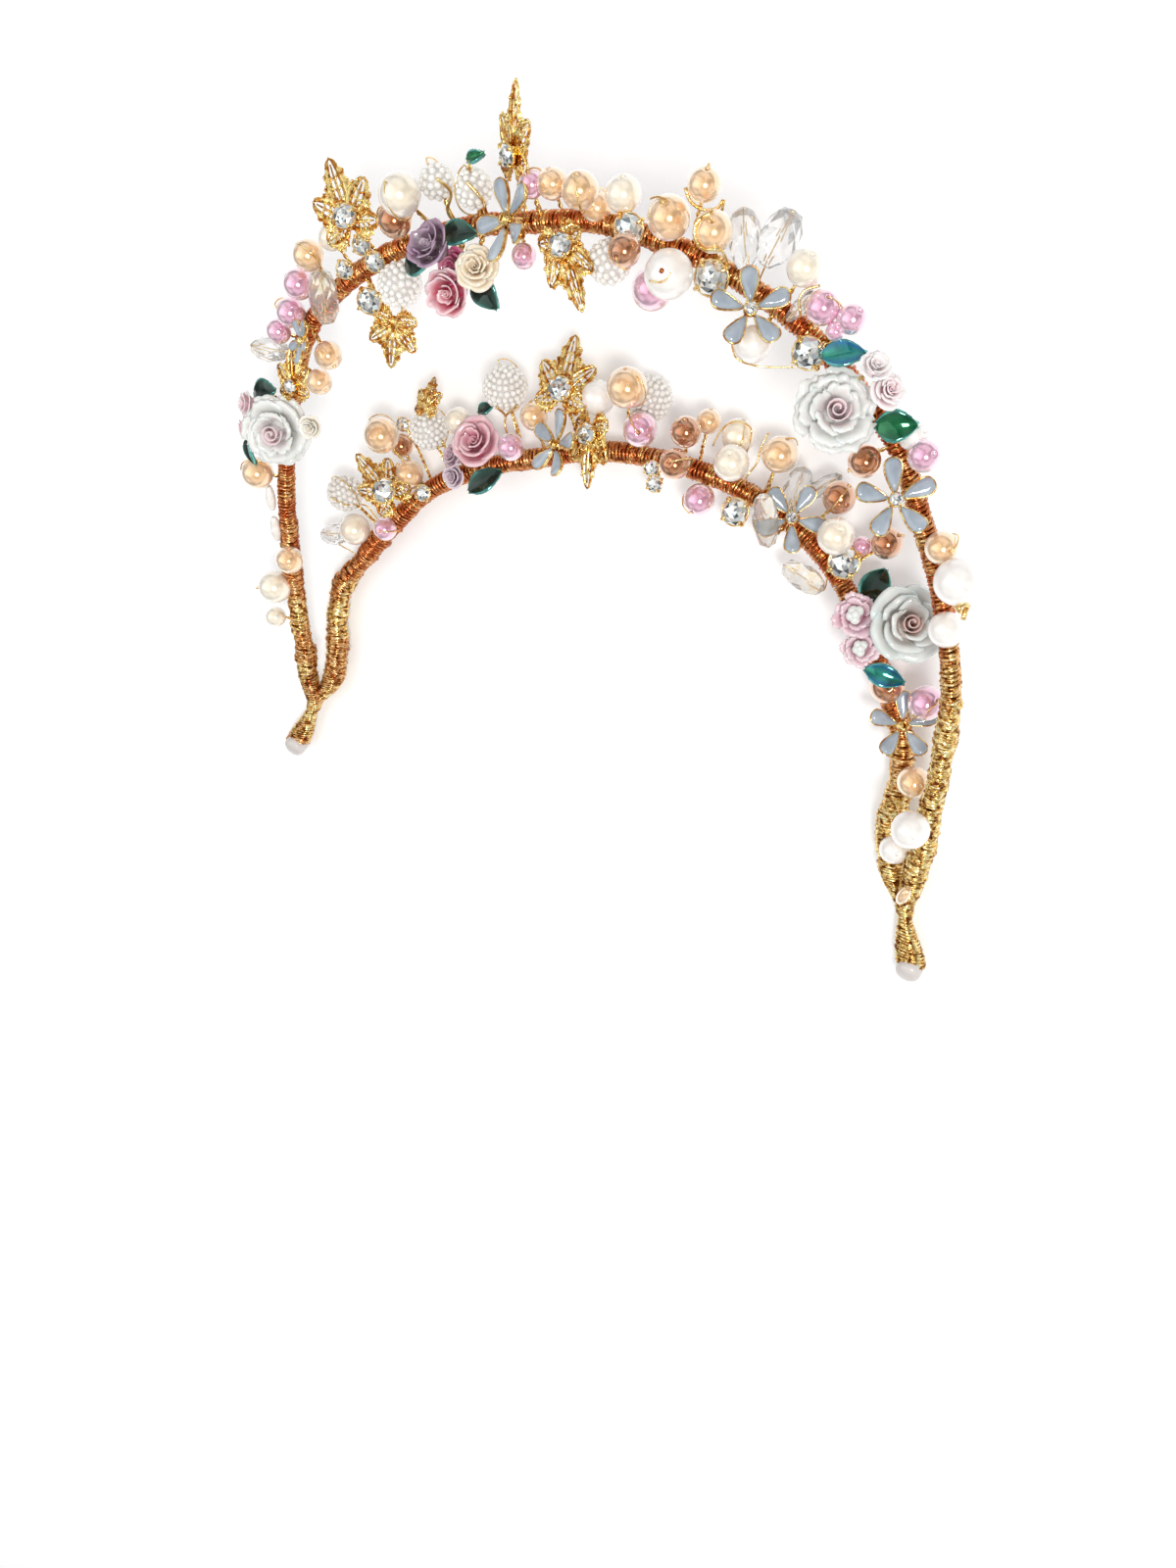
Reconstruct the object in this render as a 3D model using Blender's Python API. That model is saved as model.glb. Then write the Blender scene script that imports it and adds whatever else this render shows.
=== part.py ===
"""Pearl headband with two wire-wrapped arches, pearls, enamel flowers, porcelain roses and pierced leaves.

The headband lies on its back: X across, +Y from the tips to the top of the head, +Z the worn front.
Tables are in millimetres in the plane of an arch: across, up and lift (out of the plane to the front).
"""
import math

import bmesh
import bpy
from mathutils import Matrix, Vector
from mathutils.bvhtree import BVHTree

MM = 0.001
GAP = 0.3                      # clear space left between two neighbouring pieces
UPPER_TILT = math.radians(18.6)  # the upper arch stands forward of the lower one by this angle
REST_LEAN = math.radians(1.75)  # turn about X that sets tips and lowest ornaments on the floor
VIEWER = Vector((113.0, 113.0, 248.0))  # ornaments pile up towards this point
LIFT_STEP = 0.25
MAX_LIFT = 12.0
BAND_SIDES = 8
BEAD_SIDES = 10
BEAD_RINGS = 5
SMALL_BEAD_RINGS = 4
STONE_SIDES = 8
CRYSTAL_SIDES = 6
STEM_RADIUS = 0.5
BAND_END = 9.0                # height above the tips' line where an arch ends in a tip
LEAF_THICKNESS = 0.9

# centre lines of the arches, from the left tip over the top to the right tip: (across, up)
LOWER_LINE = [
    (-72, 5), (-70.5, 9), (-69.8, 16), (-71, 24), (-70, 32), (-63, 42), (-56, 51), (-47, 60), (-35, 66.5),
    (-23, 71), (-8, 75.5), (5, 76.5), (18, 75.5), (30, 72.5), (41, 67), (49, 60), (56, 51),
    (62, 42.5), (66.5, 35), (68, 27), (68.8, 17), (70.5, 9), (72, 5),
]
UPPER_LINE = [
    (-76, 5), (-76.4, 9), (-76, 34), (-75, 48), (-73.5, 60), (-69.5, 76), (-66, 86), (-60, 97),
    (-51, 105.5), (-42, 111.5), (-34, 115.5), (-21.5, 120), (-8, 122.5), (3, 124), (14, 123),
    (28, 119.5), (42, 112.5), (52, 104.5), (60, 96), (66, 84), (70, 75), (74, 63), (76.5, 50),
    (77, 34), (76.4, 9), (76, 5),
]
BANDS = {
    # name: centre line, tilt, half width in the plane, half thickness to the front
    "lower": (LOWER_LINE, 0.0, 2.3, 2.5),
    "upper": (UPPER_LINE, UPPER_TILT, 2.0, 2.2),
}

# beads fused to their arch: (arch, across, up, lift, radius)
STRUNG_BEADS = [
    ("upper", -80.7, 25, 3, 2.4), ("upper", -79.3, 33.5, 3, 3.8), ("upper", -73.5, 42, 3, 3.1),
    ("upper", -78.6, 62, 3, 3.5), ("upper", -57.7, 86.3, 3, 2.6), ("upper", -54.5, 92.3, 3, 2.8),
    ("upper", -66.4, 95, 3, 2.5), ("upper", -62.6, 99.3, 3, 2.9), ("upper", -59.6, 105.2, 3, 3.0),
    ("upper", -56.3, 111, 3, 3.0), ("upper", -51, 114.7, 2, 2.5), ("upper", -35.4, 120, 3, 3.1),
    ("upper", -8.7, 117.6, 3, 2.2), ("upper", -7.3, 129, 2, 2.3), ("upper", -3.3, 129.6, 2, 2.6),
    ("upper", 2.4, 129.5, 3, 3.1), ("upper", 9.8, 129.6, 2, 3.0),
    ("upper", 24.4, 132.9, 3, 2.7), ("upper", 42, 123, 3, 2.9),
    ("upper", 45.5, 117.6, 3, 2.8), ("upper", 50.4, 116.6, 3, 2.4), ("upper", 62.2, 99.4, 1, 2.5),
    ("upper", 65, 97.3, 3, 2.7), ("upper", 70.4, 82.3, 3, 2.8), ("upper", 73.7, 67.5, 3, 3.1),
    ("upper", 12.7, 122.5, 7, 2.7), ("upper", 14, 114.4, -1, 3.6), ("upper", 3.9, 126.3, 0, 2.6),
    ("lower", 15, 86, 2, 2.5), ("lower", 50.5, 69.4, 2, 2.0),
    ("lower", -66, 46.2, 3, 3.6), ("lower", -57.7, 48.2, 3, 2.7), ("lower", -56.8, 67, 1, 2.7),
    ("lower", -52.6, 61.6, 3, 3.2), ("lower", -41.5, 75.3, 3, 3.0), ("lower", -23.3, 79.8, 3, 3.0),
    ("lower", -9.8, 86, 2, 3.6), ("lower", 21.7, 84.5, 2, 3.4),
    ("lower", 61.9, 44.7, 3, 3.4), ("lower", 71.2, 12.8, 3, 3.0),
]
# seed-bead covered balls fused to their arch: (arch, across, up, lift, radius)
BEADED_BALLS = [
    ("upper", -26.4, 127.2, 2, 3.2), ("upper", -18.9, 127, 2, 3.5), ("upper", -35.5, 108.8, 3, 4.2),
    ("upper", 7.9, 119, 3, 3.8), ("lower", -69.5, 53.8, 3, 4.3), ("lower", -48.7, 72, 3, 4.3),
    ("lower", -31, 84.2, 3, 4.9), ("lower", 0.4, 87.6, -1, 4.8),
]
# round cut stones in cups fused to their arch: (arch, across, up, lift, radius)
SET_STONES = [
    ("upper", -48, 109.6, 3, 1.7), ("upper", -40.8, 112, 3, 1.9), ("upper", -43.4, 114.6, 3, 1.8),
    ("upper", -43, 104.6, 3, 2.4), ("upper", 11.9, 125, 4, 2.5), ("upper", 26.9, 119.5, 4, 2.8),
    ("upper", 44.3, 110.5, 4, 2.6), ("lower", -57, 71.6, 1, 1.5), ("lower", -48, 58.5, 4, 1.8),
    ("lower", 5.5, 75, 4, 1.6), ("lower", 6.7, 72.2, 4, 1.7), ("lower", 24.7, 70.5, 4, 2.7),
    ("lower", 48.3, 66, 4, 3.0),
]
# long cut crystals fused to their arch: (arch, across, up, lift, length, width, lean in degrees)
CRYSTALS = [
    ("upper", -70.5, 90.3, 2, 9.5, 5.0, 85), ("upper", -53, 104, 3, 8.6, 5.0, 5),
    ("upper", 31.3, 125.5, 2, 9.5, 5.4, -5), ("upper", 37, 126.4, 2, 9.5, 6.4, 25),
    ("lower", -71.3, 43.8, 3, 8.0, 5.0, 75),
    ("lower", 35.5, 77.1, 2, 9.0, 5.4, 10), ("lower", 38.9, 77.7, 0, 11.0, 3.4, 50),
    ("lower", 41.1, 61.3, 4, 9.0, 5.2, -70),
]
# rice-shaped beads along the left leg, fused to the arch: (arch, across, up, lift, length, width)
RICE_BEADS = [
    ("upper", -77, 48.5, 2, 6.5, 2.4), ("upper", -77, 56, 2, 6.5, 2.2),
]

# bare stems to pieces that stand off their arch: (arch, across, up, lift, distance kept from that point)
STEMS = [
    ("lower", 55.2, 71.3, 3, 3.5), ("upper", 34.3, 109.9, 3, 3.3), ("upper", -42.5, 115.7, 5.3, 0.8),
]

# pearls of their own: (name, arch, across, up, lift, radius, colour)
PEARLS = [
    ("pearl_upper_01_ivory", "upper", -33.8, 124.5, 3, 4.0, "ivory"),
    ("pearl_upper_02_peach", "upper", 18.5, 127.4, 3, 3.7, "peach"),
    ("pearl_upper_03_peach", "upper", 26.3, 126.3, 3, 3.5, "peach"),
    ("pearl_upper_04_white", "upper", 19.3, 119, 4, 4.2, "white"),
    ("pearl_upper_05_white", "upper", 34.3, 109.9, 3, 3.2, "white"),
    ("pearl_upper_06_bronze", "upper", 55.5, 94.3, 3, 3.0, "bronze"),
    ("pearl_upper_07_white", "upper", 74, 76.9, 3, 4.1, "white"),
    ("pearl_lower_01_peach", "lower", -61.1, 68.5, 3, 4.1, "peach"),
    ("pearl_lower_02_pink", "lower", -27.3, 72.7, 4, 3.0, "pink"),
    ("pearl_lower_03_peach", "lower", -3.2, 89.2, 3, 4.3, "peach"),
    ("pearl_lower_04_pink", "lower", 1.6, 82, 4, 3.7, "pink"),
    ("pearl_lower_05_bronze", "lower", 11, 83.3, 3, 3.4, "bronze"),
    ("pearl_lower_06_bronze", "lower", 10.2, 76.9, 4, 3.5, "bronze"),
    ("pearl_lower_07_pink", "lower", 16.4, 71, 3, 3.4, "pink"),
    ("pearl_lower_08_ivory", "lower", 22, 79.5, 4, 3.7, "ivory"),
    ("pearl_lower_09_peach", "lower", 31.1, 82.9, 3, 3.9, "peach"),
    ("pearl_lower_10_bronze", "lower", 44.3, 77.5, 3, 3.4, "bronze"),
    ("pearl_lower_11_ivory", "lower", 45.6, 70.5, 4, 3.8, "ivory"),
    ("pearl_lower_12_bronze", "lower", 55.2, 71.3, 3, 3.4, "bronze"),
    ("pearl_lower_13_pink", "lower", 70, 43.9, 4, 3.6, "pink"),
    ("pearl_lower_14_peach", "lower", 71.6, 27.9, 4, 3.5, "peach"),
    ("pearl_lower_15_white", "lower", 73.4, 18.2, 4, 3.9, "white"),
]

# a crystal of its own, in front of a flower: (name, arch, across, up, lift, length, width, lean)
FRONT_CRYSTAL = ("crystal_front", "lower", 31.6, 70.2, 4, 9.2, 5.2, -10)
# pieces that lie over all the others
TOP_PIECES = ("pearl_upper_05_white", "pearl_lower_13_pink", "gold_leaf_9", "crystal_front")

# pierced leaves: (name, arch, across, up, lift, length, width, facing, pointing, stone radius)
GOLD_LEAVES = [
    ("gold_leaf_1", "upper", -46.9, 122, 3, 16, 14, (0.2, 0.5, 0.8), (-0.44, 0.9, 0), 2.2),
    ("gold_leaf_2", "upper", -40, 97.4, 1, 11, 13, (0.1, 0.2, 0.95), (-0.1, -1, 0), 0),
    ("gold_leaf_3", "upper", -10.6, 136.7, 2, 15, 10, (-0.88, 0.03, 0.46), (0, 1, 0), 1.9),
    ("gold_leaf_4", "upper", 0, 117, 3, 14.5, 10, (0.2, 0.5, 0.8), (0.4, -0.9, 0), 2.0),
    ("gold_leaf_5", "upper", -64.5, 86.8, 3, 9, 7.5, (-0.4, 0.2, 0.9), (-0.1, 1, 0), 1.6),
    ("gold_leaf_6", "lower", -61, 58.5, 3, 17, 13, (0.1, 0.3, 0.9), (-0.84, 0.54, 0), 2.7),
    ("gold_leaf_7", "lower", -49.6, 79, 3, 8.5, 7, (0.1, 0.3, 0.9), (0, 1, 0), 0),
    ("gold_leaf_8", "lower", -17.2, 89.5, 3, 16, 13.5, (0.1, 0.3, 0.9), (-0.05, 1, 0), 2.5),
    ("gold_leaf_9", "lower", -9, 75.5, 4, 15, 9, (-0.88, -0.12, 0.45), (0.1, -1, 0), 2.2),
]
# porcelain roses moulded together: (name, arch, heads); a head is (across, up, lift, radius, facing)
ROSES = [
    ("roses_left", "upper", [
        (-70.5, 73.5, 4, 6.8, (-0.2, 0.3, 0.9)), (-61.8, 76, 3, 2.6, (0.3, 0.2, 0.9)),
        (-77.8, 77.7, 3, 2.8, (-0.5, 0.3, 0.8)), (-79, 72.2, 3, 2.8, (-0.7, 0, 0.7))]),
    ("roses_top", "upper", [
        (-26.9, 116.6, 4, 3.9, (-0.2, 0.6, 0.8)), (-23.5, 113.4, 2, 3.4, (0, 0.2, 1)),
        (-23.5, 109.6, 4, 4.0, (0, 0.1, 1)), (-18.0, 114.4, 4, 3.9, (0.3, 0.5, 0.8))]),
    ("roses_right", "upper", [
        (50, 102, 4, 6.8, (0.35, 0.55, 0.75)), (55, 109.7, 3, 2.7, (0.4, 0.8, 0.5)),
        (57.6, 106.6, 3, 3.0, (0.6, 0.6, 0.6))]),
    ("roses_lower_left", "lower", [
        (-35.8, 71.2, 4, 4.9, (0.1, 0.4, 0.9)), (-40.9, 63.6, 3, 2.9, (0, 0, 1)),
        (-41.6, 67.8, 3, 2.8, (-0.3, 0.3, 0.9))]),
    ("roses_lower_right", "lower", [
        (52.9, 56.7, 4, 4.3, (0.2, 0.3, 0.9)), (55.2, 51, 4, 3.8, (0.3, 0.1, 0.9)),
        (62.5, 57.2, 5, 7.0, (0.45, 0.35, 0.8))]),
]
# lacquered leaves: (name, arch, across, up, lift, length, width, facing, pointing, colour)
GREEN_LEAVES = [
    ("green_leaf_1", "upper", -73.4, 81.6, 3, 6.8, 4.8, (-0.2, 0.5, 0.8), (1, 0.2, 0), "deep"),
    ("green_leaf_2", "upper", -80.2, 66.5, 3, 6, 3.6, (-0.4, 0, 0.9), (0.3, -1, 0), "deep"),
    ("green_leaf_3", "upper", -21.5, 120, 4, 7, 4.6, (0, 0.6, 0.8), (1, 0.2, 0), "deep"),
    ("green_leaf_4", "upper", -31.4, 113.3, 4, 6.5, 4.4, (-0.3, 0.3, 0.9), (-1, -0.3, 0), "deep"),
    ("green_leaf_5", "upper", -15.2, 111.3, 6, 7, 5, (0, 0.2, 1), (0.7, -0.7, 0), "deep"),
    ("green_leaf_6", "upper", 50, 111.5, 4, 7, 4.2, (0.1, 0.6, 0.8), (1, 0.3, 0), "teal"),
    ("green_leaf_7", "upper", 60.2, 101.4, 3, 7.5, 5.2, (0.2, 0.3, 0.9), (1, 0.2, 0), "emerald"),
    ("green_leaf_8", "lower", -33.4, 64.3, 3, 8.5, 5, (0.1, 0.3, 0.9), (0.6, 0.6, 0), "deep"),
    ("green_leaf_9", "lower", 55.3, 63.3, 4, 8, 6, (0.3, 0.5, 0.8), (0.3, 0.9, 0), "deep"),
    ("green_leaf_10", "lower", 61.6, 47.3, 6, 8, 4.4, (0.3, 0.2, 0.9), (1, -0.1, 0), "teal"),
]
# five-petal enamel flowers: (name, arch, across, up, lift, radius, facing, first petal in degrees)
ENAMEL_FLOWERS = [
    ("enamel_flower_1", "upper", -59, 94.9, 5, 4.4, (-0.5, 0.3, 0.8), 20),
    ("enamel_flower_2", "upper", -10.5, 123.7, 5, 7.0, (-0.43, 0.42, 0.8), 30),
    ("enamel_flower_3", "upper", 34.3, 116, 5, 6.5, (0.38, 0.62, 0.68), 12),
    ("enamel_flower_4", "upper", 62, 89.7, 5, 6.7, (0.38, 0.62, 0.68), 8),
    ("enamel_flower_5", "lower", -16.2, 75.5, 5, 7.0, (-0.43, 0.15, 0.89), 0),
    ("enamel_flower_6", "lower", 35.9, 72, 5, 6.8, (0.3, 0.35, 0.88), 7),
    ("enamel_flower_7", "lower", 66.4, 37.8, 5, 6.7, (0.38, 0.37, 0.85), 10),
]

COLOURS = {
    "ivory": (0.85, 0.78, 0.66), "white": (0.88, 0.87, 0.85), "peach": (0.83, 0.60, 0.42),
    "bronze": (0.52, 0.30, 0.19), "pink": (0.80, 0.50, 0.55), "deep": (0.02, 0.09, 0.06),
    "teal": (0.02, 0.25, 0.24), "emerald": (0.01, 0.30, 0.14), "gold": (0.72, 0.46, 0.14),
    "copper": (0.42, 0.17, 0.06), "enamel": (0.52, 0.58, 0.64), "cap": (0.85, 0.85, 0.84),
}


def at(arch, across, up, lift):
    """Point of the lying headband for a place in the plane of an arch."""
    tilt = BANDS[arch][1]
    y = up * math.cos(tilt) - lift * math.sin(tilt)
    return Vector((across, y, up * math.sin(tilt) + lift * math.cos(tilt)))


def turned(arch, direction):
    """Direction in the plane of an arch, turned into the lying headband."""
    return at(arch, *direction).normalized()


def to_viewer(point):
    return (VIEWER - point).normalized()


def facing_matrix(centre, facing, pointing):
    """Local Z looks along facing, local Y as near to pointing as it can."""
    z = facing.normalized()
    x = pointing.cross(z).normalized()
    y = z.cross(x)
    return Matrix.Translation(centre) @ Matrix((x, y, z)).transposed().to_4x4()


def smooth_line(points, count):
    """Evenly spaced points on a smooth curve through the given ones."""
    dense = []
    last = len(points) - 1
    for index in range(last):
        before, start = Vector(points[max(index - 1, 0)]), Vector(points[index])
        end, after = Vector(points[index + 1]), Vector(points[min(index + 2, last)])
        for step in range(16):
            t = step / 16
            linear = 2 * start + (end - before) * t
            square = (2 * before - 5 * start + 4 * end - after) * t ** 2
            dense.append(0.5 * (linear + square + (3 * start - before - 3 * end + after) * t ** 3))
    dense.append(Vector(points[-1]))
    reach = [0.0]
    for first, second in zip(dense, dense[1:]):
        reach.append(reach[-1] + (second - first).length)
    line = []
    index = 0
    for step in range(count):
        target = reach[-1] * step / (count - 1)
        while index < len(dense) - 2 and reach[index + 1] < target:
            index += 1
        share = (target - reach[index]) / max(reach[index + 1] - reach[index], 1e-9)
        line.append(dense[index].lerp(dense[index + 1], share))
    return line


def ring_solid(rings):
    """Closed solid through rings of points, each with the same count, capped at both ends."""
    bm = bmesh.new()
    rows = [[bm.verts.new(point) for point in ring] for ring in rings]
    sides = len(rows[0])
    for lower, upper in zip(rows, rows[1:]):
        for index in range(sides):
            after = (index + 1) % sides
            bm.faces.new((lower[index], lower[after], upper[after], upper[index]))
    bm.faces.new(list(reversed(rows[0])))
    bm.faces.new(rows[-1])
    bmesh.ops.recalc_face_normals(bm, faces=bm.faces)
    return bm


def lathe(profile, sides, matrix):
    """Closed solid turned about local Z from (radius, height) pairs."""
    rings = []
    for radius, height in profile:
        ring = []
        for index in range(sides):
            angle = 2 * math.pi * index / sides
            ring.append(matrix @ Vector((radius * math.cos(angle), radius * math.sin(angle), height)))
        rings.append(ring)
    return ring_solid(rings)


def bead(centre, radius, axis, stretch=1.0, strips=SMALL_BEAD_RINGS):
    """Faceted ball whose poles carry a small flat, like the mouth of a drill hole."""
    profile = []
    for index in range(strips):
        angle = math.pi * (0.1 + 0.8 * index / (strips - 1))
        profile.append((radius * math.sin(angle), -radius * stretch * math.cos(angle)))
    side = Vector((1, 0, 0)) if abs(axis.x) < 0.8 else Vector((0, 1, 0))
    return lathe(profile, BEAD_SIDES, facing_matrix(centre, axis, side))


def cut_stone(centre, radius, facing):
    """Round cut stone with a flat table, in its cup."""
    shape = [(0.75, -0.8), (1.05, 0.04), (0.58, 0.46)]
    profile = [(reach * radius, height * radius) for reach, height in shape]
    return lathe(profile, STONE_SIDES, facing_matrix(centre, facing, Vector((0.1, 1, 0.05))))


def crystal(centre, length, width, axis):
    """Long cut crystal with flat ends and a wide belly."""
    profile = [(0.16 * width, -0.5 * length), (0.5 * width, -0.16 * length),
               (0.47 * width, 0.16 * length), (0.2 * width, 0.5 * length)]
    return lathe(profile, CRYSTAL_SIDES, facing_matrix(centre, axis, Vector((0.1, 0.05, 1))))


def rod(start, end, radius, sides=3):
    axis = end - start
    side = Vector((0.3, 0.1, 1)) if abs(axis.normalized().z) < 0.8 else Vector((1, 0.2, 0))
    return lathe([(radius, 0), (radius, axis.length)], sides, facing_matrix(start, axis, side))


def tube(points, outward, front, half_width, half_depth, sides=BAND_SIDES):
    """Closed tube along a line; outward and front give the section's axes at each point."""
    rings = []
    for index, point in enumerate(points):
        ring = []
        for side in range(sides):
            angle = 2 * math.pi * (side + 0.5) / sides
            ring.append(point + outward[index] * (half_width[index] * math.cos(angle))
                        + front * (half_depth[index] * math.sin(angle)))
        rings.append(ring)
    return ring_solid(rings)


def mesh_object(name, bm):
    mesh = bpy.data.meshes.new(name)
    bm.to_mesh(mesh)
    bm.free()
    obj = bpy.data.objects.new(name, mesh)
    bpy.context.scene.collection.objects.link(obj)
    return obj


def fuse(name, solids):
    """One closed body from overlapping solids."""
    body = mesh_object(name, solids[0])
    for index, solid in enumerate(solids[1:]):
        tool = mesh_object("tool", solid)
        tool.display_type = 'WIRE'
        tool.hide_render = True
        union = body.modifiers.new("union", 'BOOLEAN')
        union.operation = 'UNION'
        union.solver = 'EXACT'
        union.object = tool
        joined = bpy.data.meshes.new_from_object(body.evaluated_get(bpy.context.evaluated_depsgraph_get()))
        body.modifiers.clear()
        body.data = joined
        bpy.data.objects.remove(tool)
    body.data.name = name
    return body


def colour(obj, name, roughness, metallic):
    material = bpy.data.materials.new(obj.name)
    material.use_nodes = True
    shader = material.node_tree.nodes["Principled BSDF"]
    shader.inputs["Base Color"].default_value = (*COLOURS[name], 1)
    shader.inputs["Roughness"].default_value = roughness
    shader.inputs["Metallic"].default_value = metallic
    material.diffuse_color = (*COLOURS[name], 1)
    obj.data.materials.clear()
    obj.data.materials.append(material)


def band_line(arch, count):
    """Points and outward directions of an arch between its two tips."""
    centre_line, tilt, half_width, half_depth = BANDS[arch]
    line = [point for point in smooth_line(centre_line, 400) if point.y >= BAND_END]
    line = [line[round(index * (len(line) - 1) / (count - 1))] for index in range(count)]
    points, outward = [], []
    for index, point in enumerate(line):
        along = line[min(index + 1, count - 1)] - line[max(index - 1, 0)]
        out = Vector((-along.y, along.x)).normalized()
        points.append(at(arch, point.x, point.y, 0))
        outward.append(turned(arch, (out.x, out.y, 0)))
    return points, outward


def band_solid(arch, count):
    """Wound arch with a slightly lumpy section, thicker down the two legs."""
    points, outward = band_line(arch, count)
    half_width, half_depth = BANDS[arch][2:]
    widths, depths = [], []
    for index, point in enumerate(points):
        leg = max(0.0, 1 - point.y / 55)
        lump = 1 + 0.05 * math.sin(2.3 * index) + 0.03 * math.sin(5.1 * index)
        widths.append(half_width * (1 + 0.3 * leg) * lump)
        depths.append(half_depth * (1 + 0.15 * leg) * lump)
    return tube(points, outward, turned(arch, (0, 0, 1)), widths, depths)


def nearest_on_band(arch, centre):
    points, outward = band_line(arch, 120)
    return min(points, key=lambda point: (point - centre).length)


def strung_band(arch, count):
    """Arch with its small beads, beaded balls, set stones and crystals, each on a stem."""
    solids = [band_solid(arch, count)]
    front = turned(arch, (0, 0, 1))

    def add(solid, centre, reach):
        solids.append(solid)
        foot = nearest_on_band(arch, centre)
        if (centre - foot).length > reach + 1.3:
            solids.append(rod(foot, centre, STEM_RADIUS))

    for table in (STRUNG_BEADS, BEADED_BALLS):
        for row in table:
            if row[0] == arch:
                centre = at(*row[:4])
                axis = (centre - nearest_on_band(arch, centre)).normalized()
                add(bead(centre, row[4], axis), centre, row[4])
    for row in SET_STONES:
        if row[0] == arch:
            centre = at(*row[:4])
            add(cut_stone(centre, row[4], front + 0.6 * to_viewer(centre)), centre, 0.7 * row[4])
    for name, across, up, lift, length, width, lean in CRYSTALS:
        if name == arch:
            centre = at(arch, across, up, lift)
            angle = math.radians(lean)
            axis = turned(arch, (math.sin(angle), math.cos(angle), 0.1))
            add(crystal(centre, length, width, axis), centre, width / 2)
    for name, across, up, lift, length, width in RICE_BEADS:
        if name == arch:
            centre = at(arch, across, up, lift)
            add(bead(centre, width / 2, turned(arch, (0, 1, 0)), length / width), centre, width / 2)
    for name, across, up, lift, kept in STEMS:
        if name == arch:
            head = at(arch, across, up, lift)
            foot = nearest_on_band(arch, head)
            solids.append(rod(foot, head + (foot - head).normalized() * kept, STEM_RADIUS))
    return fuse(arch + "_band", solids)


def tip_solids(side):
    """Wound tip: both arches run together, neck down and flare towards the cap."""
    solids = []
    for arch, line in (("lower", LOWER_LINE), ("upper", UPPER_LINE)):
        end = Vector(line[-1] if side > 0 else line[0])
        near = Vector(line[-2] if side > 0 else line[1])
        run = [(near.x, BAND_END - GAP), (end.x, end.y), (side * 75.6, 0.4), (side * 76.3, -2.2)]
        points = [at(arch, across, up, 0) for across, up in run]
        outward = [Vector((1, 0, 0))] * len(points)
        start = 2.9 if arch == "lower" else 2.5
        widths, depths = [start, 2.4, 1.9, 1.6], [start, 2.2, 1.8, 1.5]
        solids.append(tube(points, outward, turned(arch, (0, 0, 1)), widths, depths))
    run = [(75.9, 0.8), (76.3, -1.8), (77.4, -5), (78.9, -8.6), (80, -11.6)]
    points = [Vector((side * across, up, 0)) for across, up in run]
    outward = [Vector((1, 0, 0))] * len(points)
    widths, depths = [1.9, 1.5, 2.2, 3.1, 3.4], [1.8, 1.5, 1.9, 2.3, 2.5]
    solids.append(tube(points, outward, Vector((0, 0, 1)), widths, depths))
    return solids


def cap_solid(side):
    """Plain rounded button at the end of a tip."""
    axis = Vector((0, -1, 0))
    matrix = facing_matrix(Vector((side * 80, -11.6, 0)) + axis * GAP, axis, Vector((0, 0, 1)))
    profile = [(3.1, 0), (3.5, 0.6), (3.4, 1.7), (2.6, 2.6), (1.2, 3.1)]
    return lathe(profile, 12, matrix @ Matrix.Diagonal((1, 0.78, 1, 1)))


def gold_leaf(name, arch, across, up, lift, length, width, facing, pointing, stone):
    """Pierced leaf of five pointed lobes with toothed sides and a cut through every lobe."""
    lobes = [(90, 1.0), (42, 0.74), (138, 0.74), (-12, 0.52), (192, 0.52)]
    outline = []
    for angle, reach in sorted(lobes, key=lambda lobe: lobe[0]):
        for turn, share in ((-24, 0.44), (-13, 0.8), (0, 1.0), (13, 0.8)):
            outline.append((math.radians(angle + turn), reach * share))
    outline.append((math.radians(218), 0.3))
    outline.append((math.radians(270), 0.3))
    curve = bpy.data.curves.new(name, 'CURVE')
    curve.dimensions = '2D'
    curve.fill_mode = 'BOTH'
    curve.extrude = LEAF_THICKNESS / 2
    tall = length / 1.3
    wide = width / 1.5

    def spline(points):
        line = curve.splines.new('POLY')
        line.points.add(len(points) - 1)
        for point, (x, y) in zip(line.points, points):
            point.co = (x * wide, y * tall - 0.35 * tall, 0, 1)
        line.use_cyclic_u = True

    spline([(reach * math.cos(angle), reach * math.sin(angle)) for angle, reach in outline])
    for angle, reach in lobes:
        turn = math.radians(angle)
        along = Vector((math.cos(turn), math.sin(turn)))
        across_lobe = Vector((-along.y, along.x))
        middle = along * (reach * 0.52)
        half = 0.06 + 0.05 * reach
        hole = [middle + along * (0.26 * reach), middle + across_lobe * half,
                middle - along * (0.2 * reach), middle - across_lobe * half]
        spline([(point.x, point.y) for point in hole])
    shape = bpy.data.objects.new(name, curve)
    bpy.context.scene.collection.objects.link(shape)
    mesh = bpy.data.meshes.new_from_object(shape.evaluated_get(bpy.context.evaluated_depsgraph_get()))
    bpy.data.objects.remove(shape)
    bm = bmesh.new()
    bm.from_mesh(mesh)
    bmesh.ops.remove_doubles(bm, verts=bm.verts, dist=0.001)
    bmesh.ops.recalc_face_normals(bm, faces=bm.faces)
    centre = at(arch, across, up, lift)
    matrix = facing_matrix(centre, turned(arch, facing), turned(arch, pointing))
    bmesh.ops.transform(bm, matrix=matrix, verts=bm.verts)
    solids = [bm]
    if stone:
        seat = matrix @ Vector((0, -0.3 * tall, 0.8 * stone))
        solids.append(cut_stone(seat, stone, turned(arch, facing)))
    return solids


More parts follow.
